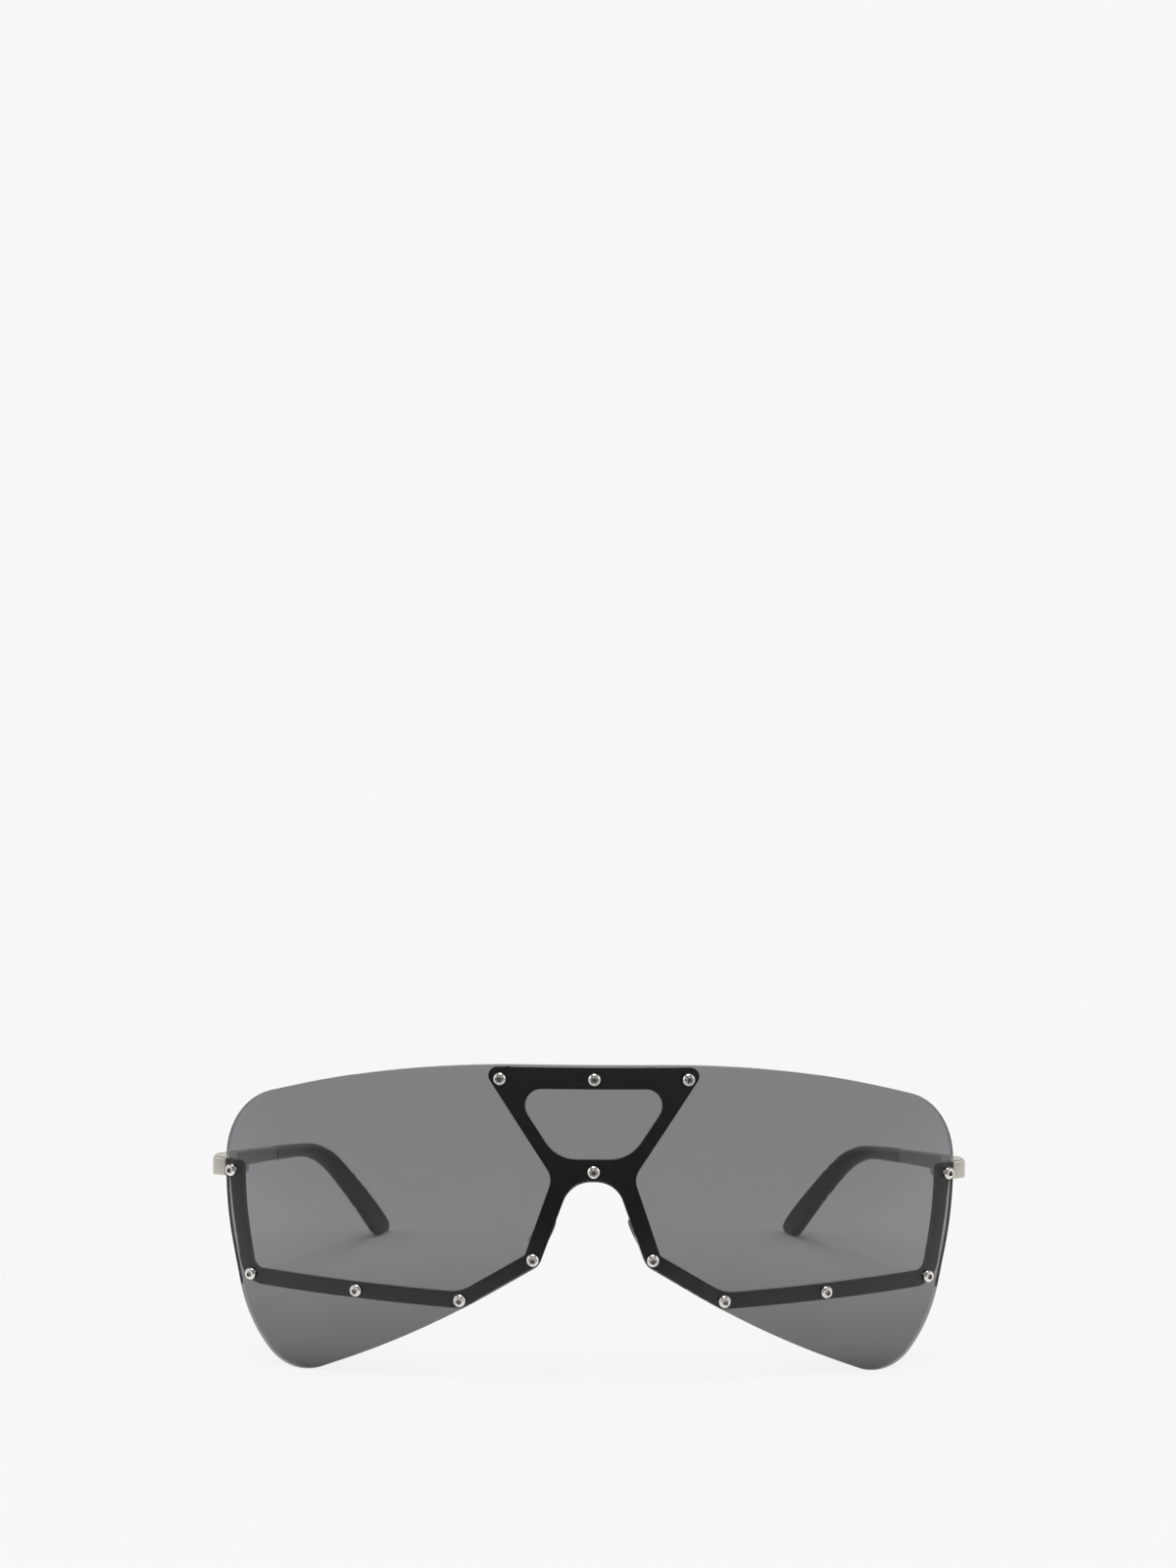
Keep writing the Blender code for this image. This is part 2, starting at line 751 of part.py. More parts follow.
def arm_mesh(lean):
    """The right-hand temple arm: a flat bar, the core inside the tip and the hinge's middle knuckle."""
    rings = []
    start = BUTT_GAP / 2
    for share in ARM_STATION_SHARES:
        run = start + share * (ARM_LENGTH - start)
        height = ARM_FRONT_HEIGHT + share * (ARM_REAR_HEIGHT - ARM_FRONT_HEIGHT)
        centre, out, up, _ = temple_frame(run, lean)
        if share == 0:
            out = Vector((1, 0, 0))
            up = Vector((0, 0, 1))
        rings.append(section((centre, out, up), chamfered(ARM_THICKNESS, height, ARM_CHAMFER)))
    core = CORE_DIAMETER / 2
    circle = chamfered(CORE_DIAMETER, CORE_DIAMETER, core * (1 - math.tan(math.pi / 8)))
    for station in range(CORE_STATIONS + 1):
        run = ARM_LENGTH + CORE_LENGTH * station / CORE_STATIONS
        centre, out, up, _ = temple_frame(run, lean)
        rings.append(section((centre, out, up), circle))
    bar = loft("temple_arm", rings)
    knuckle = KNUCKLE_DIAMETER / 2
    half = KNUCKLE_HEIGHT / 2
    centre = Vector((0, 0, 0))
    post = rod("post", knuckle, -half, half, KNUCKLE_SIDES, centre)
    inner = block_outer() - ARM_THICKNESS - hinge_place().x
    web = slab(
        "web",
        (0, BUTT_GAP, -half),
        (inner + ARM_CHAMFER, BUTT_GAP + knuckle, half),
    )
    bore = HINGE_SCREW_DIAMETER / 2 + SCREW_CLEARANCE
    hole = rod("bore", bore, -half - OVERRUN, half + OVERRUN, SCREW_SIDES, centre)
    return combine(combine(bar, [web, post], "UNION"), [hole], "DIFFERENCE")


def tip_rings(lean):
    """Rings of the right-hand temple tip, from the bottom of its bore out and round to its end."""
    rings = []
    mouth = ARM_LENGTH + 2 * SEAT_GAP
    bore_end = ARM_LENGTH + CORE_LENGTH + CORE_END_GAP
    bore = CORE_DIAMETER + 2 * CORE_CLEARANCE
    for station in range(CORE_STATIONS + 1):
        run = bore_end + (mouth - bore_end) * station / CORE_STATIONS
        centre, out, up, _ = temple_frame(run, lean)
        rings.append(section((centre, out, up), oval(bore, -bore / 2, bore / 2, TIP_SIDES, 1)))
    end_length = TIP_END_SHARES[0][0] * TIP_PADDLE_HEIGHT
    last = TEMPLE_RUN - end_length
    for station in range(TIP_STATIONS + 1):
        run = mouth + (last - mouth) * station / TIP_STATIONS
        centre, out, up, share = temple_frame(run, lean)
        height = max(share * TIP_PADDLE_HEIGHT, TIP_NECK_HEIGHT * (1 - share * TIP_WAIST_SHARE))
        width = TIP_THICKNESS
        if station == 0:
            shape = oval(
                width - 2 * TIP_NOSE_ROUND,
                TIP_NOSE_ROUND - height / 2,
                height / 2 - TIP_NOSE_ROUND,
                TIP_SIDES,
                TIP_POWER,
            )
            rings.append(section((centre, out, up), shape))
            centre, out, up, share = temple_frame(run + TIP_NOSE_ROUND, lean)
        shape = oval(width, -height / 2, height / 2, TIP_SIDES, TIP_POWER)
        rings.append(section((centre, out, up), shape))
    for before_share, low_share, high_share, width_share in TIP_END_SHARES[1:]:
        run = TEMPLE_RUN - before_share * TIP_PADDLE_HEIGHT
        centre, out, up, _ = temple_frame(run, lean)
        low = low_share * TIP_PADDLE_HEIGHT
        high = high_share * TIP_PADDLE_HEIGHT
        shape = oval(TIP_THICKNESS * width_share, low, high, TIP_SIDES, TIP_POWER)
        rings.append(section((centre, out, up), shape))
    return rings


def temple_lean(ground):
    """The slope, added to the side view, that brings the temple tips down to the ground."""
    rings = tip_rings(0)
    lowest = min((point for ring in rings for point in ring), key=lambda point: point.z)
    return (hinge_place().z + lowest.z - ground) / lowest.y


def pad_axes():
    """Pivot of the right-hand nose pad and its own axes: towards the nose, back and down."""
    down = Vector((math.sin(PAD_SPLAY), 0, -math.cos(PAD_SPLAY)))
    back = Vector((math.sin(PAD_FLARE), math.cos(PAD_FLARE), 0))
    back = (back - down * back.dot(down)).normalized()
    nose = back.cross(down).normalized()
    across, up = site(PAD_ARM_ROOT_SHARES)
    centre = Vector((across + PAD_OFFSET, SHEET_BACK + PAD_STANDOFF, up - PAD_DROP))
    pivot = centre - nose * (PAD_THICKNESS + TAB_LENGTH) / 2
    turn = Matrix((nose, back, down)).transposed()
    return Matrix.Translation(pivot) @ turn.to_4x4()


def pad_mesh():
    """A nose pad with a drilled tab on its back; its own X points to the nose, Y back and Z down."""
    middle = (PAD_THICKNESS + TAB_LENGTH) / 2
    rings = []
    for depth_share, outline_share in PAD_SECTION_SHARES:
        end = PAD_LENGTH / 2 * outline_share
        outline = oval(PAD_WIDTH * outline_share, -end, end, PAD_SIDES, PAD_POWER)
        rings.append([Vector((middle + depth_share * PAD_THICKNESS, y, z)) for y, z in outline])
    pad = loft("nose_pad", rings)
    half = TAB_THICKNESS / 2
    tab = slab(
        "tab",
        (-TAB_LENGTH / 2, -half, -TAB_LENGTH / 2),
        (middle, half, TAB_LENGTH / 2),
    )
    radius = PAD_SCREW_DIAMETER / 2 + PAD_CLEARANCE
    hole = turned("hole", ((radius, -half - OVERRUN, False), (radius, half + OVERRUN, False)), SCREW_SIDES)
    hole = moved(hole, Matrix.Rotation(math.pi / 2, 4, "X"))
    return combine(combine(pad, [tab], "UNION"), [hole], "DIFFERENCE")


def tube_rings(points, radius, sides):
    """Rings of a round wire along points."""
    rings = []
    for index, point in enumerate(points):
        before = points[max(index - 1, 0)]
        after = points[min(index + 1, len(points) - 1)]
        along = (after - before).normalized()
        side = along.cross(Vector((0, 0, 1))).normalized()
        if index == 0:
            side = Vector((1, 0, 0))
        up = side.cross(along).normalized()
        ring = []
        for part in range(sides):
            angle = math.tau * part / sides
            ring.append(point + (side * math.cos(angle) + up * math.sin(angle)) * radius)
        rings.append(ring)
    return rings


def pad_arm_mesh():
    """The right-hand pad arm: a bent wire from the back of the frame to a box round the pad's tab."""
    axes = pad_axes()
    half_gap = TAB_THICKNESS / 2 + PAD_CLEARANCE
    outer = half_gap + BOX_WALL
    base = -TAB_LENGTH / 2 - PAD_CLEARANCE
    box = slab(
        "box",
        (base - BOX_WALL, -outer, -BOX_LENGTH / 2),
        (base + BOX_DEPTH, outer, BOX_LENGTH / 2),
    )
    channel = slab(
        "channel",
        (base, -half_gap, -BOX_LENGTH / 2 - OVERRUN),
        (base + BOX_DEPTH + OVERRUN, half_gap, BOX_LENGTH / 2 + OVERRUN),
    )
    radius = PAD_SCREW_DIAMETER / 2 + PAD_CLEARANCE / 2
    hole = turned("hole", ((radius, -outer - OVERRUN, False), (radius, outer + OVERRUN, False)), SCREW_SIDES)
    hole = moved(hole, Matrix.Rotation(math.pi / 2, 4, "X"))
    box = moved(combine(box, [channel, hole], "DIFFERENCE"), axes)
    across, up = site(PAD_ARM_ROOT_SHARES)
    root = bend((across, SHEET_BACK + SEAT_GAP, up))
    end = axes @ Vector((base - BOX_WALL / 2, 0, (BOX_WALL - BOX_LENGTH) / 2))
    way = end - root
    route = [root + Vector((way.x * a, way.y * b, way.z * c)) for a, b, c in PAD_ARM_SHARES]
    wire = loft("wire", tube_rings(route, PAD_ARM_DIAMETER / 2, WIRE_SIDES))
    return combine(box, [wire], "UNION")


def pad_screw_mesh():
    """The small screw on which a nose pad rocks, along the pad's own Y."""
    outer = TAB_THICKNESS / 2 + PAD_CLEARANCE + BOX_WALL
    mesh = slotted_screw_mesh(
        "pad_screw",
        PAD_SCREW_DIAMETER / 2,
        2 * outer + SEAT_GAP,
        PAD_SCREW_HEAD_DIAMETER / 2,
        PAD_SCREW_HEAD_HEIGHT,
        PAD_SCREW_HEAD_HEIGHT / 2,
        PAD_SCREW_HEAD_HEIGHT / 2,
    )
    lift = Matrix.Translation(Vector((0, outer + SEAT_GAP, 0)))
    return moved(mesh, lift @ Matrix.Rotation(-math.pi / 2, 4, "X"))


def mirrored_place(matrix):
    """The left-hand place of a right-hand one, for a mesh that has itself been mirrored."""
    flip = Matrix.Scale(-1, 4, Vector((1, 0, 0)))
    return flip @ matrix @ flip


def pair(name, mesh, look, root, matrix=None, turn=None):
    """A right-hand piece and its mirrored left-hand twin, both turned the same way in place."""
    matrix = matrix or Matrix()
    turn = turn or Matrix()
    left = other_side(mesh)
    place(name + "_right", mesh, look, root, matrix @ turn)
    place(name + "_left", left, look, root, mirrored_place(matrix) @ turn)


def main():
    clear_scene()
    lens_look = material("smoke_lens", (0.10, 0.10, 0.11), 0, 0.05, 0.6)
    black_metal = material("black_metal", (0.012, 0.012, 0.012), 1, 0.35)
    silver = material("silver_metal", (0.62, 0.60, 0.56), 1, 0.25)
    bright = material("bright_steel", (0.75, 0.74, 0.72), 1, 0.15)
    black_plastic = material("black_plastic", (0.01, 0.01, 0.01), 0, 0.3)
    clear_rubber = material("clear_silicone", (0.75, 0.75, 0.72), 0, 0.3, 0.5)

    outline = lens_outline()
    ground = min(z for _, z in outline)
    lean = temple_lean(ground)
    sway = Matrix.Rotation(-TEMPLE_SWAY, 4, "Z")
    furthest = max((sway @ point).y for ring in tip_rings(lean) for point in ring)
    front = SEAT_GAP + SCREW_HEAD_HEIGHT
    root = bpy.data.objects.new("sunglasses", None)
    bpy.context.scene.collection.objects.link(root)
    root.location = (0, (front - hinge_place().y - furthest) / 2, -ground)

    place("shield_lens", bent_sheet("lens", outline, [], 0, LENS_THICKNESS), lens_look, root)
    edge, window = frame_outlines()
    sheet = bent_sheet("frame", edge, [window], FRAME_DEPTH, SHEET_THICKNESS)
    place("frame_front", sheet, black_metal, root)
    screws_and_spacers(root, bright, black_metal)

    hinge = Matrix.Translation(hinge_place())
    pair("end_piece", end_piece_mesh(), silver, root)
    seat_height = BLOCK_HEIGHT / 2 - HINGE_HEAD_HEIGHT
    screw = slotted_screw_mesh(
        "hinge_screw",
        HINGE_SCREW_DIAMETER / 2,
        BLOCK_HEIGHT - HINGE_HEAD_HEIGHT,
        HINGE_HEAD_DIAMETER / 2,
        HINGE_HEAD_HEIGHT,
        HINGE_SLOT_WIDTH,
        HINGE_SLOT_DEPTH,
    )
    head = Matrix.Translation(Vector((0, 0, seat_height)))
    pair("hinge_screw", moved(screw, head), bright, root, hinge)
    pair("temple_arm", arm_mesh(lean), silver, root, hinge, sway)
    pair("temple_tip", loft("temple_tip", tip_rings(lean)), black_plastic, root, hinge, sway)

    pair("pad_arm", pad_arm_mesh(), silver, root)
    pair("nose_pad", pad_mesh(), clear_rubber, root, pad_axes())
    pair("pad_screw", pad_screw_mesh(), bright, root, pad_axes())


main()
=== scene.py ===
import json
import math

import bmesh
import bpy
from mathutils import Matrix, Vector


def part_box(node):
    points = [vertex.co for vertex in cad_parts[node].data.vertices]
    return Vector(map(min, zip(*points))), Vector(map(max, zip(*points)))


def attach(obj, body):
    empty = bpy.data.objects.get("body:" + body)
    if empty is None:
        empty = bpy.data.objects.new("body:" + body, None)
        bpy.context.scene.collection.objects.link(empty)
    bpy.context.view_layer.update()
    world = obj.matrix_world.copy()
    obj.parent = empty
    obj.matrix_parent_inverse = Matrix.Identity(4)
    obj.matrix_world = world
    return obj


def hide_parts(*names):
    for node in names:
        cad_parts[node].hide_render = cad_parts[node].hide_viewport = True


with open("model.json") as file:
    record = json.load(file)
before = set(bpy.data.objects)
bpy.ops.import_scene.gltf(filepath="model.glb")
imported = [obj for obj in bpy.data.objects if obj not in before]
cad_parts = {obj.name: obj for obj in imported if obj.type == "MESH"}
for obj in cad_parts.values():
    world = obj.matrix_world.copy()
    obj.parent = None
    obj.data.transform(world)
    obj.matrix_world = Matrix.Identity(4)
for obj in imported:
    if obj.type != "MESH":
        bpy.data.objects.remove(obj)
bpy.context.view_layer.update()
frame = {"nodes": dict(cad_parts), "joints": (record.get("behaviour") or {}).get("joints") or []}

# Viewpoint. The sunglasses stand on a table, seen from the front, half a metre away
# and a little from above, in an upright frame that leaves wide space over them.
VIEW_DISTANCE = 0.500
VIEW_HEIGHT = 0.1191
VIEW_ACROSS = -0.01316
VIEW_PITCH = math.radians(0.866)
VIEW_YAW = math.radians(-1.320)
VIEW_ROLL = math.radians(0.478)
VIEW_LENS_MM = 61.956
VIEW_SENSOR_MM = 36
VIEW_CLIP_START = 0.01


def added(name, data):
    """A new object in the scene."""
    made = bpy.data.objects.new(name, data)
    bpy.context.scene.collection.objects.link(made)
    return made


lens_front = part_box("shield_lens")[0].y
view_data = bpy.data.cameras.new("camera")
view_data.sensor_width = VIEW_SENSOR_MM
view_data.lens = VIEW_LENS_MM
view_data.clip_start = VIEW_CLIP_START
view = added("camera", view_data)
level_look = Matrix.Rotation(math.pi / 2 - VIEW_PITCH, 4, "X")
view_turn = Matrix.Rotation(VIEW_YAW, 4, "Z") @ level_look @ Matrix.Rotation(VIEW_ROLL, 4, "Z")
view_place = Vector((VIEW_ACROSS, lens_front - VIEW_DISTANCE, VIEW_HEIGHT))
view.matrix_world = Matrix.Translation(view_place) @ view_turn
bpy.context.scene.camera = view
bpy.context.scene.view_settings.view_transform = "Standard"


# Studio. A pale table runs into a pale backdrop without an edge. The room is dim where
# the viewer stands, so the lens and the black frame stay deep in the middle.
PALE = 0.939
TABLE_SIZE = 6.0
TABLE_FLAT_SPAN = (0.22, 0.60)
TABLE_PAINTED_SHADOW = 0.58
TABLE_PAINTED_SHADOW_SPAN = (-0.07, 0.09)
TABLE_FRONT_SPAN = (0.08, 0.26)
TABLE_BACK_SPAN = (0.02, 0.16)
TABLE_BEHIND = 0.40
TABLE_GLOSS_SPAN = (-0.1, 0.15)
ROOM_DIM = 0.15
ROOM_SIDE = 0.75
ROOM_SIDE_SPAN = (-0.97, -0.25)
ROOM_BEHIND = 0.90
ROOM_BEHIND_SPAN = (0.1, 0.9)
ROOM_OVER = 0.30
ROOM_OVER_SPAN = (0.15, 0.70)
ROOM_AMBIENT = 0.66
SHADOW_LIGHTENED = 0.88
SOFTBOXES = (
    ("softbox_over", (0, -0.25, 1.3), (0, 0, 0), (0.6, 0.5), 4.8),
    ("softbox_left", (-1.3, -0.35, 0.7), (0, -0.05, 0.03), (0.8, 1.0), 2.5),
    ("softbox_right", (1.3, -0.35, 0.7), (0, -0.05, 0.03), (0.8, 1.0), 2.5),
)


def feed(tree, made, inputs):
    """Gives a node's inputs what they take, each a plain value or another node's output."""
    for key, value in inputs.items():
        if isinstance(value, bpy.types.NodeSocket):
            tree.links.new(value, made.inputs[key])
        else:
            made.inputs[key].default_value = value


def node(tree, kind, inputs=None, **settings):
    """A shader or geometry node with its settings and inputs."""
    made = tree.nodes.new(kind)
    for key, value in settings.items():
        setattr(made, key, value)
    feed(tree, made, inputs or {})
    return made


def math_node(tree, operation, *values):
    """What a math node makes of numbers or outputs."""
    return node(tree, "ShaderNodeMath", dict(enumerate(values)), operation=operation).outputs[0]


def axes(tree, vector):
    """A vector's X, Y and Z."""
    return node(tree, "ShaderNodeSeparateXYZ", {0: vector}).outputs


def ramp(tree, value, low, high, start=0.0, end=1.0):
    """A smooth step of a value from one number to another."""
    ends = {"Value": value, "From Min": low, "From Max": high, "To Min": start, "To Max": end}
    return node(tree, "ShaderNodeMapRange", ends, interpolation_type="SMOOTHSTEP").outputs["Result"]


def mix(tree, kind, factor, first, second):
    """A first number or colour that turns into a second one as the factor grows."""
    inputs = {"Factor": factor, "A": first, "B": second}
    return node(tree, "ShaderNodeMix", inputs, data_type=kind).outputs["Result"]


def grey(level):
    """A neutral colour."""
    return (level, level, level, 1)


def mesh_of(name, points, edges=(), faces=()):
    """A new mesh from points and what joins them."""
    made = bpy.data.meshes.new(name)
    made.from_pydata(points, edges, faces)
    return made


def blank_material(name):
    """A new material with an empty node tree and an output."""
    made = bpy.data.materials.new(name)
    made.use_nodes = True
    made.node_tree.nodes.clear()
    return made, made.node_tree, node(made.node_tree, "ShaderNodeOutputMaterial")


table_look, tree, table_out = blank_material("pale_table")
ray = node(tree, "ShaderNodeLightPath").outputs
spot = node(tree, "ShaderNodeTexCoord").outputs["Object"]
depth = axes(tree, spot)["Y"]
apart = node(tree, "ShaderNodeVectorMath", {0: spot}, operation="LENGTH").outputs["Value"]
# Painted shadow: for rays that come through the lens, the table is painted darker near the sunglasses and
# back to pale behind them, on top of the shadow the lamps cast.
painted_shadow = ramp(tree, depth, *TABLE_PAINTED_SHADOW_SPAN, TABLE_PAINTED_SHADOW * PALE, PALE)
shade = mix(tree, "RGBA", ray["Is Transmission Ray"], grey(PALE), painted_shadow)
lit = node(tree, "ShaderNodeBsdfDiffuse", {"Color": shade})
flat = node(tree, "ShaderNodeEmission", {"Color": grey(PALE)})
# Painted reflection: away from the sunglasses, glossy rays see the table as a glow, dim in front and brighter
# behind, in place of its lit shading.
shine = ramp(tree, depth, *TABLE_GLOSS_SPAN, ROOM_DIM, TABLE_BEHIND)
gloss = node(tree, "ShaderNodeEmission", {"Strength": shine})
seen = math_node(tree, "MULTIPLY", ray["Is Camera Ray"], SHADOW_LIGHTENED)
plain = math_node(tree, "MAXIMUM", ramp(tree, apart, *TABLE_FLAT_SPAN), seen)
even = node(tree, "ShaderNodeMixShader", {0: plain, 1: lit.outputs[0], 2: flat.outputs[0]})
straight = math_node(tree, "SUBTRACT", 1.0, ray["Is Transmission Ray"])
reflected = math_node(tree, "MULTIPLY", ray["Is Glossy Ray"], straight)
dimmed_front = ramp(tree, math_node(tree, "MULTIPLY", depth, -1.0), *TABLE_FRONT_SPAN)
dimmed = math_node(tree, "MAXIMUM", dimmed_front, ramp(tree, depth, *TABLE_BACK_SPAN))
dimming = math_node(tree, "MULTIPLY", reflected, dimmed)
mirrored = node(tree, "ShaderNodeMixShader", {0: dimming, 1: even.outputs[0], 2: gloss.outputs[0]})
feed(tree, table_out, {"Surface": mirrored.outputs[0]})

half = TABLE_SIZE / 2
table_corners = [(-half, -half, 0), (half, -half, 0), (half, half, 0), (-half, half, 0)]
table_mesh = mesh_of("table", table_corners, faces=[(0, 1, 2, 3)])
table_mesh.materials.append(table_look)
table = added("table", table_mesh)

room = bpy.data.worlds.new("room")
bpy.context.scene.world = room
room.use_nodes = True
tree = room.node_tree
tree.nodes.clear()
ray = node(tree, "ShaderNodeLightPath").outputs
way = axes(tree, node(tree, "ShaderNodeTexCoord").outputs["Generated"])
towards_side = ramp(tree, way["Y"], *ROOM_SIDE_SPAN, ROOM_DIM, ROOM_SIDE)
towards_back = ramp(tree, way["Y"], *ROOM_BEHIND_SPAN, 1.0, ROOM_BEHIND / ROOM_SIDE)
upward = ramp(tree, way["Z"], *ROOM_OVER_SPAN, 1.0, ROOM_OVER)
mirrored = math_node(tree, "MULTIPLY", math_node(tree, "MULTIPLY", towards_side, towards_back), upward)
backdrop = math_node(tree, "MAXIMUM", ray["Is Camera Ray"], ray["Is Transmission Ray"])
strength = mix(tree, "FLOAT", ray["Is Glossy Ray"], ROOM_AMBIENT, mirrored)
strength = mix(tree, "FLOAT", backdrop, strength, PALE)
sky = node(tree, "ShaderNodeBackground", {"Color": grey(1), "Strength": strength})
node(tree, "ShaderNodeOutputWorld", {"Surface": sky.outputs[0]})

for name, place, aim, size, watts in SOFTBOXES:
    lamp = bpy.data.lights.new(name, "AREA")
    lamp.shape = "RECTANGLE"
    lamp.size, lamp.size_y = size
    lamp.energy = watts
    turned_to = (Vector(aim) - Vector(place)).to_track_quat("-Z", "Y").to_matrix().to_4x4()
    added(name, lamp).matrix_world = Matrix.Translation(place) @ turned_to


# The lens is one sheet of smoke-grey polycarbonate, curved like a piece of a cylinder
# and cut to a wide shield. Its rim is cut square, its edges barely broken, and fourteen
# holes are drilled in it.
CURVE_RADIUS = 0.132
LENS_HALF_WIDTH = 0.0741
LENS_HEIGHT = 0.059
LENS_THICKNESS = 0.0015
LENS_RIM_ROUND = 0.00022
RIM_STEPS = 3
RIM_FACING = 0.85
LENS_TINT = (0.2465, 0.2445, 0.2545, 1)
LENS_ROUGHNESS = (0.0, 0.012)
NOISE_SPAN = (0.3, 0.8)
COLUMN_STEP = 0.0010
ARC_TOLERANCE = 0.000004
SAME_PLACE = 1e-7
CUT_EDGE = math.radians(40)
HOLE_RADIUS = 0.0006
HOLE_SIDES = 28
LENS_CORNERS = (
    (0, 1, 0),
    (0.486, 1, 3.25),
    (1, 0.843, 0.237),
    (1, 0.498, 1.085),
    (0.930, 0.145, 0.441),
    (0.798, -0.0365, 0.180),
    (0.4386, 0.139, 3.39),
)
NOSE_CORNERS = ((0.135, 0.366, 0.051), (0.0575, 0.632, 0.093), (0, 0.632, 0))
CENTRE_SITES = ((0, 0.956), (0, 0.664))
PAIRED_SITES = ((0.238, 0.955), (0.151, 0.384), (0.336, 0.249), (0.611, 0.262), (0.9175, 0.283))
END_SITE = (0.9825, 0.6136)


def rounded(corners):
    """Points along the legs between (across, up, radius) corners, each corner an arc."""
    places = [Vector(corner[:2]) for corner in corners]
    reaches = [0.0] * len(corners)
    half_turns = [0.0] * len(corners)
    for index in range(1, len(corners) - 1):
        before = (places[index - 1] - places[index]).normalized()
        after = (places[index + 1] - places[index]).normalized()
        half_turns[index] = (math.pi - before.angle(after)) / 2
        reaches[index] = corners[index][2] * math.tan(half_turns[index])
    fits = [1.0] * len(corners)
    for index in range(len(corners) - 1):
        leg = (places[index + 1] - places[index]).length
        wanted = reaches[index] + reaches[index + 1]
        if wanted > leg:
            fits[index] = min(fits[index], leg / wanted)
            fits[index + 1] = min(fits[index + 1], leg / wanted)
    points = [places[0]]
    for index in range(1, len(corners) - 1):
        before = (places[index - 1] - places[index]).normalized()
        after = (places[index + 1] - places[index]).normalized()
        reach = reaches[index] * fits[index]
        radius = reach / math.tan(half_turns[index])
        if radius <= ARC_TOLERANCE:
            points.append(places[index])
            continue
        step = 2 * math.acos(1 - ARC_TOLERANCE / radius)
        count = max(1, math.ceil(2 * half_turns[index] / step))
        centre = places[index] + (before + after).normalized() * math.hypot(reach, radius)
        first = places[index] + before * reach - centre
        sweep = first.angle_signed(places[index] + after * reach - centre)
        for part in range(count + 1):
            points.append(centre + Matrix.Rotation(-sweep * part / count, 2) @ first)
    points.append(places[-1])
    return points


def both_halves(half_outline):
    """A closed outline from its right half."""
    left = [Vector((-x, z)) for x, z in reversed(half_outline[1:-1])]
    closed = []
    for point in half_outline + left:
        if not closed or (point - closed[-1]).length > ARC_TOLERANCE * 4:
            closed.append(point)
    return closed


def lens_corner(row):
    """A corner from its shares of the lens."""
    across, up, radius = row
    return (across * LENS_HALF_WIDTH, up * LENS_HEIGHT, radius * LENS_HEIGHT)


def site(row):
    """A place from its shares of the lens."""
    return (row[0] * LENS_HALF_WIDTH, row[1] * LENS_HEIGHT)


screw_sites = [(*site(row), 0) for row in CENTRE_SITES]
for row in (*PAIRED_SITES, END_SITE):
    across, up = site(row)
    kind = 1 if row == END_SITE else 0
    screw_sites += [(across, up, kind), (-across, up, kind)]


def flat_sheet(name, outline, windows):
    """A flat face in X and Z cut to an outline, with its windows and screw holes, in narrow columns."""
    rings = [outline, *windows]
    for across, up, _ in screw_sites:
        angles = [math.tau * side / HOLE_SIDES for side in range(HOLE_SIDES)]
        rings.append([(across + HOLE_RADIUS * math.cos(a), up + HOLE_RADIUS * math.sin(a)) for a in angles])
    work = bmesh.new()
    edges = []
    for ring in rings:
        corners = [work.verts.new((x, 0, z)) for x, z in ring]
        for index, corner in enumerate(corners):
            edges.append(work.edges.new((corner, corners[(index + 1) % len(corners)])))
    bmesh.ops.triangle_fill(work, edges=edges, use_beauty=True, use_dissolve=False, normal=(0, -1, 0))
    reach = max(x for x, _ in outline)
    count = math.ceil(reach / COLUMN_STEP)
    for column in range(1 - count, count):
        everything = work.verts[:] + work.edges[:] + work.faces[:]
        cut = (column * reach / count, 0, 0)
        bmesh.ops.bisect_plane(work, geom=everything, dist=SAME_PLACE, plane_co=cut, plane_no=(1, 0, 0))
    for face in work.faces:
        if face.normal.y > 0:
            face.normal_flip()
    mesh = bpy.data.meshes.new(name)
    work.to_mesh(mesh)
    work.free()
    return mesh


def new_tree(name, **kinds):
    """A geometry node tree with named inputs, and its two ends."""
    made = bpy.data.node_groups.new(name, "GeometryNodeTree")
    for title, kind in {"Geometry": "Geometry", **kinds}.items():
        made.interface.new_socket(title, in_out="INPUT", socket_type="NodeSocket" + kind)
    made.interface.new_socket("Geometry", in_out="OUTPUT", socket_type="NodeSocketGeometry")
    return made, node(made, "NodeGroupInput").outputs, node(made, "NodeGroupOutput")


def combined(tree, **parts):
    """A vector from its X, Y and Z."""
    return node(tree, "ShaderNodeCombineXYZ", parts).outputs[0]


def moved_points(tree, geometry, **change):
    """Geometry with its points at a new Position, or moved by an Offset."""
    return node(tree, "GeometryNodeSetPosition", {"Geometry": geometry, **change}).outputs[0]


def vector_node(tree, operation, *values):
    """What a vector math node makes of vectors or outputs."""
    return node(tree, "ShaderNodeVectorMath", dict(enumerate(values)), operation=operation).outputs[0]


def bent_place(tree, radius, lift):
    """Wraps a place (across, depth, up) round the upright axis that the lens follows."""
    apart = axes(tree, node(tree, "GeometryNodeInputPosition").outputs[0])
    angle = math_node(tree, "DIVIDE", apart["X"], radius)
    ring = math_node(tree, "SUBTRACT", radius, apart["Y"])
    across = math_node(tree, "MULTIPLY", ring, math_node(tree, "SINE", angle))
    inward = math_node(tree, "MULTIPLY", ring, math_node(tree, "COSINE", angle))
    bent = combined(tree, X=across, Y=math_node(tree, "SUBTRACT", radius, inward), Z=apart["Z"])
    return vector_node(tree, "ADD", bent, lift), angle


def finished(tree, geometry, look):
    """Realizes what a tree made and gives it its material."""
    real = node(tree, "GeometryNodeRealizeInstances", {0: geometry})
    return node(tree, "GeometryNodeSetMaterial", {"Geometry": real.outputs[0], "Material": look}).outputs[0]


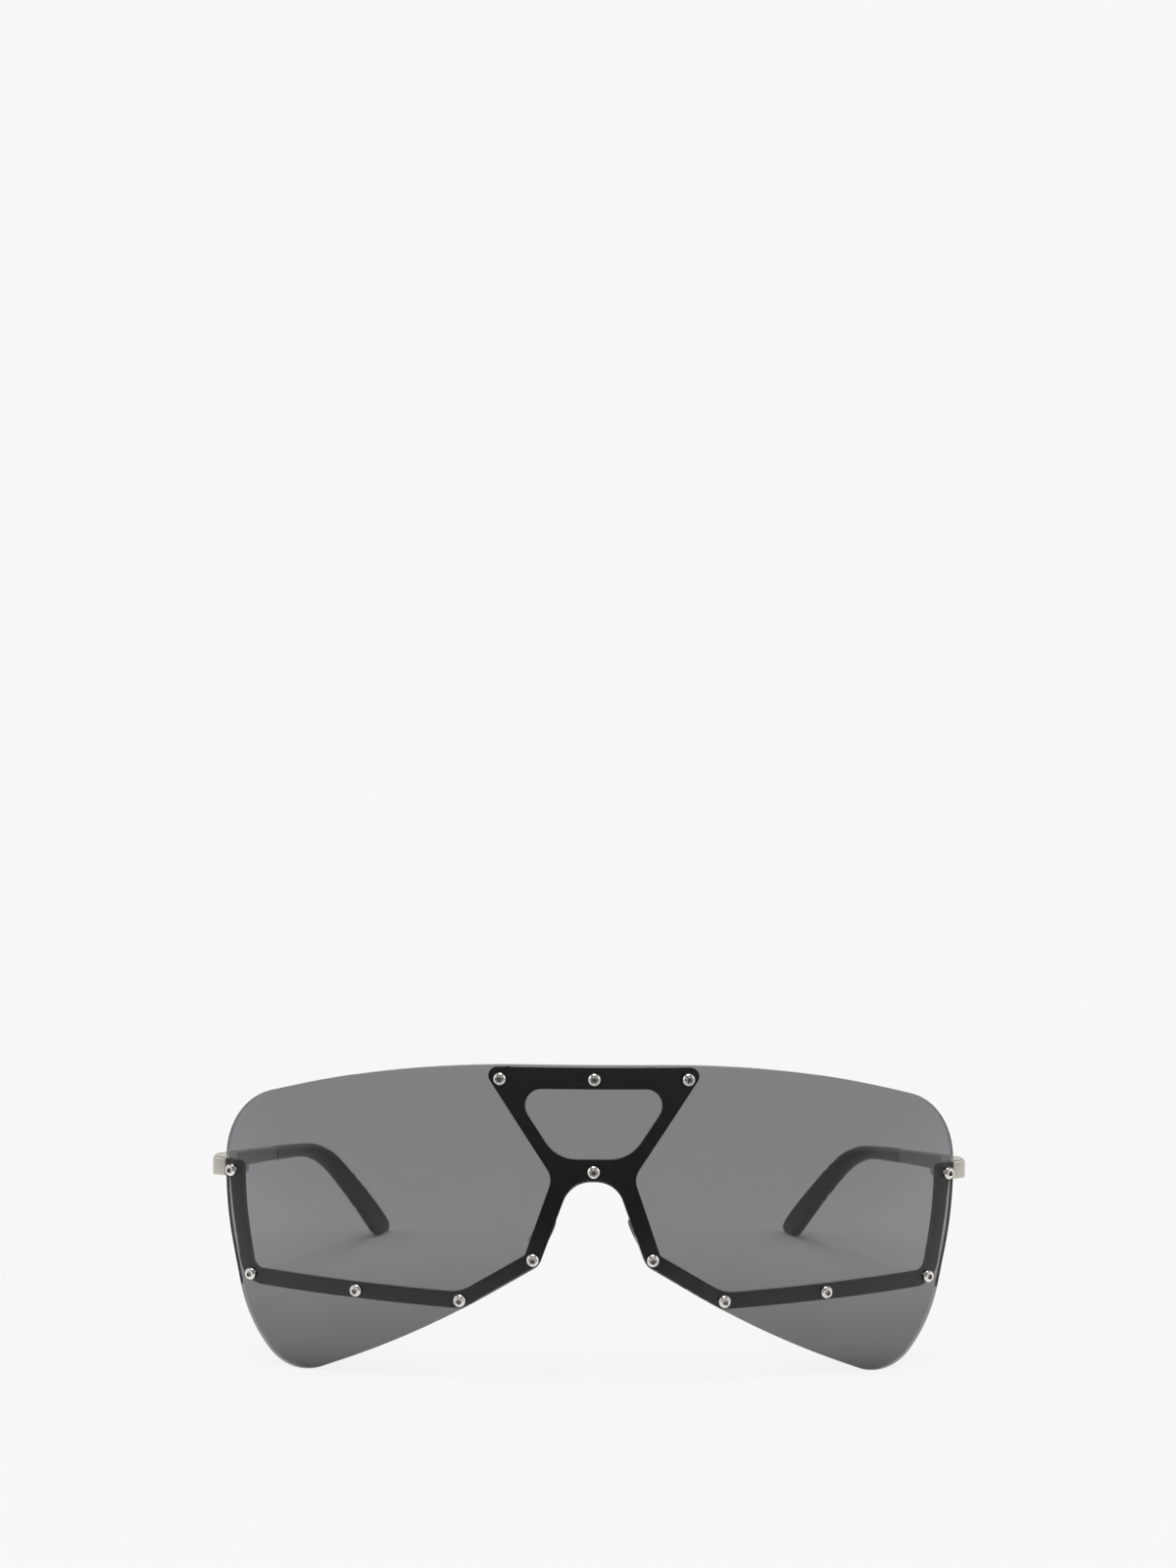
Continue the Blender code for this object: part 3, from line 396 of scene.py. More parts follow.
sheet_tree, start, end = new_tree(
    "bent_sheet", Radius="Float", Depth="Float", Thickness="Float", Place="Vector", Finish="Material"
)
backward = {"Offset": combined(sheet_tree, Y=1), "Offset Scale": start["Thickness"], "Individual": False}
back = node(sheet_tree, "GeometryNodeExtrudeMesh", {"Mesh": start["Geometry"], **backward}, mode="FACES")
turned_back = node(sheet_tree, "GeometryNodeFlipFaces", {"Mesh": back.outputs["Mesh"]})
whole = node(sheet_tree, "GeometryNodeJoinGeometry", {0: start["Geometry"]})
feed(sheet_tree, whole, {0: turned_back.outputs[0]})
closed = node(sheet_tree, "GeometryNodeMergeByDistance", {"Geometry": whole.outputs[0], "Distance": 1e-6})
sunk = moved_points(sheet_tree, closed.outputs[0], Offset=combined(sheet_tree, Y=start["Depth"]))
bent, _ = bent_place(sheet_tree, start["Radius"], start["Place"])
curved = moved_points(sheet_tree, sunk, Position=bent)
feed(sheet_tree, end, {0: finished(sheet_tree, curved, start["Finish"])})


def grown(name, mesh, tree, **values):
    """The plain mesh that a geometry node tree makes from a mesh."""
    piece = added(name, mesh)
    step = piece.modifiers.new("make", "NODES")
    step.node_group = tree
    sockets = {item.name: item.identifier for item in tree.interface.items_tree if item.in_out == "INPUT"}
    for title, value in values.items():
        step[sockets[title]] = value
    graph = bpy.context.evaluated_depsgraph_get()
    made = bpy.data.meshes.new_from_object(piece.evaluated_get(graph))
    made.name = name
    piece.modifiers.clear()
    piece.data = made
    return piece


def bevelled(work, edges, width, steps):
    """Rounds edges of an open mesh by a width, or by what its shortest edges leave room for.

    That is about 0.005 mm on the lens and the frame and 0.012 mm on the end pieces. The rounds
    fall into the first material slot, which is empty on the lens and the frame.
    """
    bmesh.ops.bevel(
        work, geom=edges, offset=width, segments=steps, profile=0.5, affect="EDGES", clamp_overlap=True
    )


def soft_edges(piece, width, steps, above):
    """Rounds every edge sharper than an angle and shades the rest smooth."""
    work = bmesh.new()
    work.from_mesh(piece.data)
    bmesh.ops.remove_doubles(work, verts=work.verts, dist=SAME_PLACE)
    bmesh.ops.recalc_face_normals(work, faces=work.faces)
    sharp = [edge for edge in work.edges if len(edge.link_faces) == 2 and edge.calc_face_angle() > above]
    bevelled(work, sharp, width, steps)
    work.to_mesh(piece.data)
    work.free()
    piece.data.shade_smooth()
    piece.modifiers.new("flats", "WEIGHTED_NORMAL").keep_sharp = True
    return piece


def object_noise(tree, scale, detail, stretch=(1, 1, 1)):
    """Noise in the object's own coordinates, in features per metre, stretched if asked."""
    spot = node(tree, "ShaderNodeTexCoord").outputs["Object"]
    mapped = node(tree, "ShaderNodeMapping", {"Scale": stretch, "Vector": spot}).outputs[0]
    inputs = {"Scale": scale, "Detail": detail, "Vector": mapped}
    return node(tree, "ShaderNodeTexNoise", inputs).outputs["Fac"]


def bump(tree, height, strength, distance):
    """A bump from a height, for a shader's normal."""
    inputs = {"Strength": strength, "Distance": distance, "Height": height}
    return node(tree, "ShaderNodeBump", inputs).outputs["Normal"]


def principled(name, settings):
    """A material with one Principled shader and its plain settings."""
    made, tree, out = blank_material(name)
    shader = node(tree, "ShaderNodeBsdfPrincipled", settings)
    feed(tree, out, {"Surface": shader.outputs[0]})
    return made, tree, shader


lens_look, tree, shader = principled(
    "smoke_lens", {"Base Color": LENS_TINT, "Transmission Weight": 1.0, "IOR": 1.5}
)
feed(tree, shader, {"Roughness": ramp(tree, object_noise(tree, 220, 4), 0.45, 0.8, *LENS_ROUGHNESS)})


def clear_rim(piece, facing_share):
    """Gives the cut edge of the lens, all that doesn't face in or out, the lens's own material."""
    for face in piece.data.polygons:
        outward = Vector((face.center.x, face.center.y - lens_front - CURVE_RADIUS, 0)).normalized()
        if abs(face.normal.dot(outward)) < facing_share:
            face.material_index = 1


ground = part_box("shield_lens")[0].z
lens_outline = both_halves(rounded([lens_corner(row) for row in LENS_CORNERS + NOSE_CORNERS]))
lens_foot = min(z for _, z in lens_outline)
sheet_place = Vector((0, lens_front, ground - lens_foot))
lens_piece = grown(
    "lens",
    flat_sheet("lens", lens_outline, []),
    sheet_tree,
    Radius=CURVE_RADIUS,
    Depth=0.0,
    Thickness=LENS_THICKNESS,
    Place=sheet_place,
    Finish=lens_look,
)
soft_edges(lens_piece, LENS_RIM_ROUND, RIM_STEPS, CUT_EDGE)
clear_rim(lens_piece, RIM_FACING)
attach(lens_piece, "front")
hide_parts("shield_lens")


# The frame is one blank of sheet steel, cut with a bridge window and open eyes, curved
# beside the lens and coated satin black. An ear at each side carries an end piece.
SHEET_THICKNESS = 0.0008
SHEET_GAP = 0.00095
SHEET_BACK = LENS_THICKNESS + SHEET_GAP + SHEET_THICKNESS
SHEET_ROUND = 0.00010
SHEET_ROUND_STEPS = 2
BAR_WIDTH = 0.0029
EAR_HEIGHT = 0.0034
EAR_REACH = 0.0031
EAR_MARGIN = 0.0013
EAR_ROUND = 0.0011
EAR_CORNER = 0.0004
EAR_FOOT_SHARE = 0.58
FRAME_SIDE_CORNERS = ((0.995, 0.473, 1.017), (0.9595, 0.248, 0.093), (0.3374, 0.217, 0.034))
FRAME_TOP_CORNER = (0.2906, 0.988, 0.0273)
EYE_CORNERS = (
    ((1.203, 0.159), 0.061),
    ((1, 0.517), 0.017),
    ((0.148, 1.038), 0.136),
    ((-0.810, 1.021), 0.037),
    ((-0.914, 0.379), 1.017),
)
WINDOW_TOP = ((-1.941, -1.369), 0.054)
WINDOW_FOOT = ((0.945, 1.334), 0.1217)
COAT_TONES = ((0.0035, 0.0036, 0.0036, 1), (0.0085, 0.0083, 0.0078, 1))
COAT_ROUGHNESS = (0.30, 0.42)


def beside(corner, row):
    """A corner set off from another by shares of the bar width."""
    (across, up), radius = row
    return (corner[0] + across * BAR_WIDTH, corner[1] + up * BAR_WIDTH, radius * LENS_HEIGHT)


end_across, end_up = site(END_SITE)
ear_top = end_up + EAR_HEIGHT / 2
ear_foot = end_up - EAR_HEIGHT / 2
side = [lens_corner(row) for row in FRAME_SIDE_CORNERS]
nose = [lens_corner(row) for row in NOSE_CORNERS]
frame_top = lens_corner(FRAME_TOP_CORNER)
opposite = (nose[1], nose[0], side[2], side[1], side[0])
half_frame = [
    (0, frame_top[1], 0),
    frame_top,
    *[beside(corner, row) for corner, row in zip(opposite, EYE_CORNERS)],
    (end_across - EAR_MARGIN, ear_top, EAR_ROUND),
    (end_across + EAR_REACH, ear_top, EAR_CORNER),
    (end_across + EAR_REACH, ear_foot, EAR_CORNER),
    (end_across + EAR_REACH * EAR_FOOT_SHARE, ear_foot, EAR_CORNER),
    *side,
    *nose,
]
window_top = beside(frame_top, WINDOW_TOP)
window_foot = beside(nose[1], WINDOW_FOOT)
window = both_halves(rounded([(0, window_top[1], 0), window_top, window_foot, (0, window_foot[1], 0)]))

black_metal, tree, shader = principled("black_metal", {"Specular IOR Level": 0.34})
speck = object_noise(tree, 5200, 3)
coat_rough = ramp(tree, object_noise(tree, 160, 5), 0.3, 0.75, *COAT_ROUGHNESS)
coat_relief = bump(tree, speck, 0.25, 0.00002)
coat_shade = mix(tree, "RGBA", speck, *COAT_TONES)
feed(tree, shader, {"Base Color": coat_shade, "Roughness": coat_rough, "Normal": coat_relief})

frame_piece = grown(
    "frame",
    flat_sheet("frame", both_halves(rounded(half_frame)), [window]),
    sheet_tree,
    Radius=CURVE_RADIUS,
    Depth=LENS_THICKNESS + SHEET_GAP,
    Thickness=SHEET_THICKNESS,
    Place=sheet_place,
    Finish=black_metal,
)
soft_edges(frame_piece, SHEET_ROUND, SHEET_ROUND_STEPS, CUT_EDGE)
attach(frame_piece, "front")
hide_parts("frame_front")


# Fourteen cap screws of polished stainless steel clamp the lens to the frame. Each is turned
# with a bevelled head and a hexagonal socket. The two end screws are longer than the rest.
HEAD_RADIUS = 0.00115
HEAD_HEIGHT = 0.0006
HEAD_BEVEL = 0.0003
BEVEL_STEPS = 8
BEVEL_FLATNESS = 1.7
HEAD_SEAT = 0.00015
HEAD_EDGE = 0.00005
KEY_RADIUS = 0.0005
KEY_DEPTH = 0.0004
KEY_MOUTH = 0.00010
KEY_FLOOR_SHARE = 0.35
KEY_FLOOR_DROP = 0.00006
SHANK_RADIUS = 0.00045
SHANK_CHAMFER = 0.00012
LUG_THICKNESS = 0.001
LONG_SHANK = SHEET_BACK + 2 * HEAD_SEAT + LUG_THICKNESS
SCREW_SIDES = 48
TURNED_EDGE = math.radians(35)
STEEL_COLOUR = (0.87, 0.85, 0.82, 1)
SOCKET_SHADE_COLOUR = (0.34, 0.32, 0.29, 1)


def smoothed(mesh, above):
    """Shades a mesh smooth but for the edges sharper than an angle."""
    mesh.shade_smooth()
    mesh.set_sharp_from_angle(angle=above)
    return mesh


def revolved(name, rows, sides):
    """A turned shape from (radius, height, hexagonal) rows, closed at both ends."""
    points = []
    faces = []
    for radius, height, hexagonal in rows:
        for side in range(sides):
            angle = math.tau * side / sides
            reach = radius
            if hexagonal:
                reach = radius / math.cos(angle % (math.tau / 6) - math.tau / 12)
            points.append((reach * math.cos(angle), reach * math.sin(angle), height))
    for near in range(0, (len(rows) - 1) * sides, sides):
        for side in range(sides):
            turn = (side + 1) % sides
            faces.append((near + side, near + turn, near + sides + turn, near + sides + side))
    faces.append(tuple(reversed(range(sides))))
    faces.append(tuple(range(len(points) - sides, len(points))))
    return smoothed(mesh_of(name, points, faces=faces), TURNED_EDGE)


def cap_screw(name, shank):
    """A screw with its head's seat just over height zero, its socket's faces marked."""
    top = HEAD_SEAT + HEAD_HEIGHT
    rows = [
        (SHANK_RADIUS - SHANK_CHAMFER, -shank, False),
        (SHANK_RADIUS, -shank + SHANK_CHAMFER, False),
        (SHANK_RADIUS, HEAD_SEAT, False),
        (HEAD_RADIUS - HEAD_EDGE, HEAD_SEAT, False),
        (HEAD_RADIUS, HEAD_SEAT + HEAD_EDGE, False),
    ]
    for part in range(BEVEL_STEPS + 1):
        angle = math.pi / 2 * part / BEVEL_STEPS
        in_from = HEAD_BEVEL * (1 - abs(math.cos(angle)) ** BEVEL_FLATNESS)
        down_from = HEAD_BEVEL * (1 - math.sin(angle) ** BEVEL_FLATNESS)
        rows.append((HEAD_RADIUS - in_from, top - down_from, False))
    socket_start = (len(rows) + 1) * SCREW_SIDES
    rows += [
        (KEY_RADIUS + KEY_MOUTH, top, False),
        (KEY_RADIUS, top - HEAD_EDGE, True),
        (KEY_RADIUS, top - KEY_DEPTH, True),
        (KEY_RADIUS * KEY_FLOOR_SHARE, top - KEY_DEPTH - KEY_FLOOR_DROP, False),
    ]
    mesh = revolved(name, rows, SCREW_SIDES)
    socket = mesh.attributes.new("socket", "BOOLEAN", "FACE")
    socket.data.foreach_set("value", [min(face.vertices) >= socket_start for face in mesh.polygons])
    return mesh


polished, tree, shader = principled("polished_steel", {"Base Color": STEEL_COLOUR, "Metallic": 1.0})
steel_rough = ramp(tree, object_noise(tree, 3000, 3), *NOISE_SPAN, 0.20, 0.32)
steel_relief = bump(tree, object_noise(tree, 9000, 2), 0.15, 0.00001)
feed(tree, shader, {"Roughness": steel_rough, "Normal": steel_relief})

# Painted shade: the inside of each hexagonal socket is the same steel painted darker, for the deep recess
# that little light reaches.
socket_shade, tree, shader = principled("socket_painted_shade", {"Base Color": SOCKET_SHADE_COLOUR, "Metallic": 1.0})
feed(tree, shader, {"Roughness": ramp(tree, object_noise(tree, 4000, 3), *NOISE_SPAN, 0.20, 0.36)})


def keep(tree, geometry, name, kind, value):
    """Geometry whose points keep a value under a name."""
    inputs = {"Geometry": geometry, "Name": name, "Value": value}
    return node(tree, "GeometryNodeStoreNamedAttribute", inputs, data_type=kind, domain="POINT").outputs[0]


def kept(tree, name, kind):
    """What geometry keeps under a name."""
    return node(tree, "GeometryNodeInputNamedAttribute", {"Name": name}, data_type=kind).outputs["Attribute"]


stack_tree, start, end = new_tree(
    "stacks_on_lens",
    Radius="Float",
    Short="Object",
    Long="Object",
    Place="Vector",
    Seed="Int",
    Socket="Material",
    Finish="Material",
)
bent, angle = bent_place(stack_tree, start["Radius"], start["Place"])
turned_sites = keep(stack_tree, start["Geometry"], "facing", "FLOAT", angle)
placed = moved_points(stack_tree, turned_sites, Position=bent)
kinds = node(stack_tree, "GeometryNodeGeometryToInstance")
for title in ("Long", "Short"):
    source = node(stack_tree, "GeometryNodeObjectInfo", {"Object": start[title]})
    feed(stack_tree, kinds, {0: source.outputs["Geometry"]})
stacks = node(
    stack_tree,
    "GeometryNodeInstanceOnPoints",
    {
        "Points": placed,
        "Instance": kinds.outputs[0],
        "Pick Instance": True,
        "Instance Index": kept(stack_tree, "kind", "INT"),
        "Rotation": combined(stack_tree, X=math.pi / 2, Z=kept(stack_tree, "facing", "FLOAT")),
    },
)
turns = {"Max": math.tau, "Seed": start["Seed"]}
spin = node(stack_tree, "FunctionNodeRandomValue", turns, data_type="FLOAT")
about = {"Instances": stacks.outputs[0], "Rotation": combined(stack_tree, Z=spin.outputs["Value"])}
spun = node(stack_tree, "GeometryNodeRotateInstances", about)
in_socket = {
    "Geometry": finished(stack_tree, spun.outputs[0], start["Finish"]),
    "Selection": kept(stack_tree, "socket", "BOOLEAN"),
    "Material": start["Socket"],
}
feed(stack_tree, end, {0: node(stack_tree, "GeometryNodeSetMaterial", in_socket).outputs[0]})


def stacked(name, short, long, finish, seed):
    """One of two shapes at every screw site, square to the lens."""
    mesh = mesh_of(name, [(across, 0, up) for across, up, _ in screw_sites])
    kind = mesh.attributes.new("kind", "INT", "POINT")
    kind.data.foreach_set("value", [row[2] for row in screw_sites])
    samples = [added("sample", shape) for shape in (short, long)]
    piece = grown(
        name,
        mesh,
        stack_tree,
        Radius=CURVE_RADIUS,
        Short=samples[0],
        Long=samples[1],
        Place=sheet_place,
        Seed=seed,
        Socket=socket_shade,
        Finish=finish,
    )
    for sample in samples:
        bpy.data.objects.remove(sample)
    return piece


cad_names = sorted(frame["nodes"])
screws = stacked("screws", cap_screw("short", SHEET_BACK), cap_screw("long", LONG_SHANK), polished, 3)
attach(screws, "front")
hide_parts(*[name for name in cad_names if name.startswith("screw_")])


# A short black sleeve stands round each screw between the lens and the frame and keeps
# them apart. It is turned smooth, with a faint round on both rims.
SPACER_RADIUS = 0.0010
SPACER_ROUND = 0.00008
SPACER_SIDES = 40
SPACER_ROUGHNESS = (0.12, 0.24)

black_gloss, tree, shader = principled("black_gloss", {"Specular IOR Level": 0.14})
spacer_shade = mix(tree, "RGBA", object_noise(tree, 2500, 2), grey(0.0025), grey(0.006))
spacer_rough = ramp(tree, object_noise(tree, 1500, 3), *NOISE_SPAN, *SPACER_ROUGHNESS)
feed(tree, shader, {"Base Color": spacer_shade, "Roughness": spacer_rough})


def sleeve(name):
    """A round sleeve with a bore, a closed ring of quads."""
    low = HEAD_SEAT - LENS_THICKNESS - SHEET_GAP
    high = -LENS_THICKNESS - HEAD_SEAT
    section = (
        (HOLE_RADIUS, low),
        (SPACER_RADIUS - SPACER_ROUND, low),
        (SPACER_RADIUS, low + SPACER_ROUND),
        (SPACER_RADIUS, high - SPACER_ROUND),
        (SPACER_RADIUS - SPACER_ROUND, high),
        (HOLE_RADIUS, high),
    )
    count = len(section)
    points = []
    faces = []
    for side in range(SPACER_SIDES):
        angle = math.tau * side / SPACER_SIDES
        points += [(radius * math.cos(angle), radius * math.sin(angle), height) for radius, height in section]
        near = side * count
        over = (side + 1) % SPACER_SIDES * count
        for part in range(count):
            turn = (part + 1) % count
            faces.append((near + part, over + part, over + turn, near + turn))
    return smoothed(mesh_of(name, points, faces=faces), TURNED_EDGE)


sleeve_mesh = sleeve("sleeve")
spacers = stacked("spacers", sleeve_mesh, sleeve_mesh, black_gloss, 5)
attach(spacers, "front")
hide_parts(*[name for name in cad_names if name.startswith("spacer_")])


# Each end piece is a small block of satin nickel silver, screwed behind the ear of the
# frame. It is milled with the two outer knuckles of the hinge.
SATIN_TONES = ((0.57, 0.53, 0.475, 1), (0.66, 0.62, 0.56, 1))
BLOCK_ROUND = 0.00006
CAD_ROUND_STEPS = 2
CAD_MERGE = 2e-6
CAD_FLAT_WITHIN = math.radians(0.8)
CAD_SHARP_ABOVE = math.radians(50)


def drawn_metal(name, tones, lengthways, roughness, relief):
    """A metal of cloudy tone with fine lines along it."""
    made, tree, shader = principled(name, {"Metallic": 1.0})
    grain = object_noise(tree, 1.0, 4, (5200, lengthways, 5200))
    shade = mix(tree, "RGBA", object_noise(tree, 300, 4), *tones)
    rough = ramp(tree, grain, 0.25, 0.75, *roughness)
    feed(tree, shader, {"Base Color": shade, "Roughness": rough, "Normal": bump(tree, grain, *relief)})
    return made


def refined(name, cad_name, width, look):
    """A merged copy of a CAD solid with its sharp edges a little rounded."""
    mesh = frame["nodes"][cad_name].data.copy()
    work = bmesh.new()
    work.from_mesh(mesh)
    bmesh.ops.remove_doubles(work, verts=work.verts, dist=CAD_MERGE)
    bmesh.ops.dissolve_limit(work, angle_limit=CAD_FLAT_WITHIN, verts=work.verts, edges=work.edges)
    work.to_mesh(mesh)
    work.free()
    mesh.materials.clear()
    mesh.materials.append(look)
    return soft_edges(added(name, mesh), width, CAD_ROUND_STEPS, CAD_SHARP_ABOVE)


satin = drawn_metal("satin_silver", SATIN_TONES, 420, (0.24, 0.38), (0.22, 0.000015))
for side in ("left", "right"):
    block = refined("end_block_" + side, "end_piece_" + side, BLOCK_ROUND, satin)
    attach(block, "front")
    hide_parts("end_piece_" + side)


# The hinge screws are turned steel pins with a flat slotted head. Each is sunk into the top
# of its end piece and is the upright axis on which a temple folds.
HINGE_SHANK = 0.0005
HINGE_LENGTH = 0.0032
HINGE_HEAD = 0.0009
HINGE_HEAD_HEIGHT = 0.0004
HINGE_SLOT = (0.0003, 0.0002)
BLOCK_HALF_HEIGHT = 0.0018
PIN_SIDES = 40
PIN_ROUND = 0.00006

joint_at = {row["name"]: Vector(row["pos_m"]) for row in frame["joints"]}


def block_mesh(name, low, high):
    """A box between two opposite corners."""
    corners = [(x, y, z) for z in (low[2], high[2]) for y in (low[1], high[1]) for x in (low[0], high[0])]
    faces = ((0, 2, 3, 1), (4, 5, 7, 6), (0, 1, 5, 4), (2, 6, 7, 3), (0, 4, 6, 2), (1, 3, 7, 5))
    return mesh_of(name, corners, faces=faces)


def fused(mesh, joined, cut):
    """One mesh out of a first one, those joined to it and those cut out of it."""
    base = added("base", mesh)
    tools = [added("tool", tool) for tool in (*joined, *cut)]
    for index, tool in enumerate(tools):
        step = base.modifiers.new("step", "BOOLEAN")
        step.solver = "EXACT"
        step.operation = "UNION" if index < len(joined) else "DIFFERENCE"
        step.object = tool
    graph = bpy.context.evaluated_depsgraph_get()
    made = bpy.data.meshes.new_from_object(base.evaluated_get(graph))
    for thing in (base, *tools):
        bpy.data.objects.remove(thing)
    return made


def closed_shell(mesh, sharp_above):
    """Merges a mesh's doubles, turns its faces outwards and shades it smooth up to an angle."""
    work = bmesh.new()
    work.from_mesh(mesh)
    bmesh.ops.remove_doubles(work, verts=work.verts, dist=2 * SAME_PLACE)
    bmesh.ops.dissolve_degenerate(work, edges=work.edges, dist=2 * SAME_PLACE)
    bmesh.ops.recalc_face_normals(work, faces=work.faces)
    work.to_mesh(mesh)
    work.free()
    return smoothed(mesh, sharp_above)


def slotted_screw(name, shank, length, head, head_height, slot):
    """A pin with a flat slotted head, the head's underside at height zero."""
    rows = [
        (shank - PIN_ROUND, -length, False),
        (shank, PIN_ROUND - length, False),
        (shank, 0, False),
        (head - PIN_ROUND, 0, False),
        (head, PIN_ROUND, False),
        (head, head_height - PIN_ROUND, False),
        (head - PIN_ROUND * 0.3, head_height - PIN_ROUND * 0.3, False),
        (head - PIN_ROUND, head_height, False),
    ]
    width, depth = slot
    near = (-head * 2, -width / 2, head_height - depth)
    groove = block_mesh("slot", near, (head * 2, width / 2, head_height * 2))
    return closed_shell(fused(revolved(name, rows, PIN_SIDES), [], [groove]), TURNED_EDGE)


def both_hands(mesh):
    """The sides' names, each with the right-hand mesh or its mirrored twin."""
    twin = mesh.copy()
    twin.transform(Matrix.Scale(-1, 4, Vector((1, 0, 0))))
    twin.flip_normals()
    return (("right", mesh), ("left", twin))


def set_in_place(name, mesh, look, body, replaced, slot, place=Matrix()):
    """A finished mesh with its place put into it, and what it stands for."""
    mesh.transform(place)
    mesh.materials.clear()
    mesh.materials.append(look)
    piece = added(name, mesh)
    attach(piece, body)
    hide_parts(replaced)


hinge_pin = slotted_screw("hinge_pin", HINGE_SHANK, HINGE_LENGTH, HINGE_HEAD, HINGE_HEAD_HEIGHT, HINGE_SLOT)
for side, mesh in both_hands(hinge_pin):
    seat = joint_at["temple_fold_" + side] + Vector((0, 0, BLOCK_HALF_HEIGHT - HINGE_HEAD_HEIGHT))
    named = ("front", "hinge_screw_" + side, "bright_steel")
    set_in_place("hinge_pin_" + side, mesh, polished, *named, Matrix.Translation(seat))


# The temples are flat bars of brushed steel, a cooler grey than the end pieces, bevelled all
# along and thinned to a round core where the tips begin. Each carries a knuckle of the hinge.
BRUSHED_TONES = ((0.47, 0.47, 0.46, 1), (0.54, 0.54, 0.53, 1))
BAR_ROUND = 0.00008

brushed = drawn_metal("brushed_steel", BRUSHED_TONES, 300, (0.26, 0.38), (0.2, 0.000012))
for side in ("left", "right"):
    bar = refined("temple_bar_" + side, "temple_arm_" + side, BAR_ROUND, brushed)
    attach(bar, "temple_" + side)
    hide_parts("temple_arm_" + side)


# The temple tips are moulded from black plastic, oval in section, and pushed over the cores.
# They are painted paler towards the mouth, a painted sheen for the glancing reflection there, and they sweep
# down behind the ear, broaden to a paddle and end in a slanting rounded cut.
HINGE_UP = END_SITE[1] * LENS_HEIGHT
ARM_LENGTH = 0.050
ARM_OFFSET = 0.00245
TEMPLE_RUN = 0.1272
TOE_IN = math.tan(math.radians(3))
BOW_RADIUS = 0.483
SWAY = math.radians(1.15)
BORE_RADIUS = 0.0009
BORE_LENGTH = 0.051
MOUTH_GAP = 0.00006
TIP_THICKNESS = 0.0028
TIP_NECK = 0.00325
TIP_PADDLE = 0.0063
TIP_WAIST = 0.21
MOUTH_TAPER = 0.0120
MOUTH_INSET = (0.00040, 0.00010)
END_ROUND = 0.0004
END_CORNER = 0.13
END_SETBACK = 0.05
OVAL_POWER = 0.75
OVAL_FIT = 0.974
TIP_SIDES = 36
BORE_STEPS = 16
TIP_STEPS = 64
END_STEPS = 40
ROUND_STEPS = 4
TAPER_STEPS = 10
TANGENT_STEP = 3e-5
SHELL_EDGE = math.radians(40)
SHEEN_LENGTH = 0.034
SHEEN_COLOUR = (0.155, 0.155, 0.153, 1)
TEMPLE_PATH = (
    (0, 1, 0.506),
    (0.165, 0.936, 0.506),
    (0.385, 0.851, 0.53),
    (0.550, 0.786, 0.45),
    (0.605, 0.754, 0.53),
    (0.660, 0.703, 0.61),
    (0.715, 0.629, 0.72),
    (0.778, 0.511, 0.81),
    (0.833, 0.396, 0.88),
    (0.921, 0.195, 1),
    (1, -0.015, 1),
)
TIP_END = (
    (0, -0.50, 0.50, 1),
    (0.62, -0.50, 0.53, 0.98),
    (0.95, -0.45, 0.55, 0.93),
    (1.33, -0.02, 0.55, 0.78),
    (1.50, 0.17, 0.47, 0.56),
)


def smooth_row(rows, share):
    """The row of a table at a share of its first column, on a smooth curve through the rows."""
    last = len(rows) - 2
    index = 0
    while index < last and share > rows[index + 1][0]:
        index += 1
    span = rows[index + 1][0] - rows[index][0]
    t = (share - rows[index][0]) / span
    result = []
    for column in range(1, len(rows[0])):
        slopes = []
        for row in (index, index + 1):
            low = rows[max(row - 1, 0)]
            high = rows[min(row + 1, len(rows) - 1)]
            slopes.append(span * (high[column] - low[column]) / (high[0] - low[0]))
        result.append(
            (1 + 2 * t) * (1 - t) ** 2 * rows[index][column]
            + t * (1 - t) ** 2 * slopes[0]
            + t * t * (3 - 2 * t) * rows[index + 1][column]
            + t * t * (t - 1) * slopes[1]
        )
    return result


def rounded_row(rows, share, window):
    """The row of a table at a share of its first column, on straight legs with rounded corners."""
    samples = []
    for part in (-2, -1, 0, 1, 2):
        at = min(max(share + part * window / 2, rows[0][0]), rows[-1][0])
        index = max(place for place, row in enumerate(rows[:-1]) if row[0] <= at)
        t = (at - rows[index][0]) / (rows[index + 1][0] - rows[index][0])
        samples.append([a + (b - a) * t for a, b in zip(rows[index][1:], rows[index + 1][1:])])
    return [sum(column) / len(samples) for column in zip(*samples)]


def temple_middle(run, lean):
    """The temple's middle line, measured from its hinge."""
    up_share, _ = smooth_row(TEMPLE_PATH, run / TEMPLE_RUN)
    inward = TOE_IN * run + run**2 / (2 * BOW_RADIUS)
    return Vector((ARM_OFFSET - inward, run, (up_share - 1) * HINGE_UP - lean * run))


def half_height(run):
    """Half the height of a tip, where it isn't cut or rounded off."""
    _, share = smooth_row(TEMPLE_PATH, run / TEMPLE_RUN)
    return max(share * TIP_PADDLE, TIP_NECK * (1 - share * TIP_WAIST)) / 2


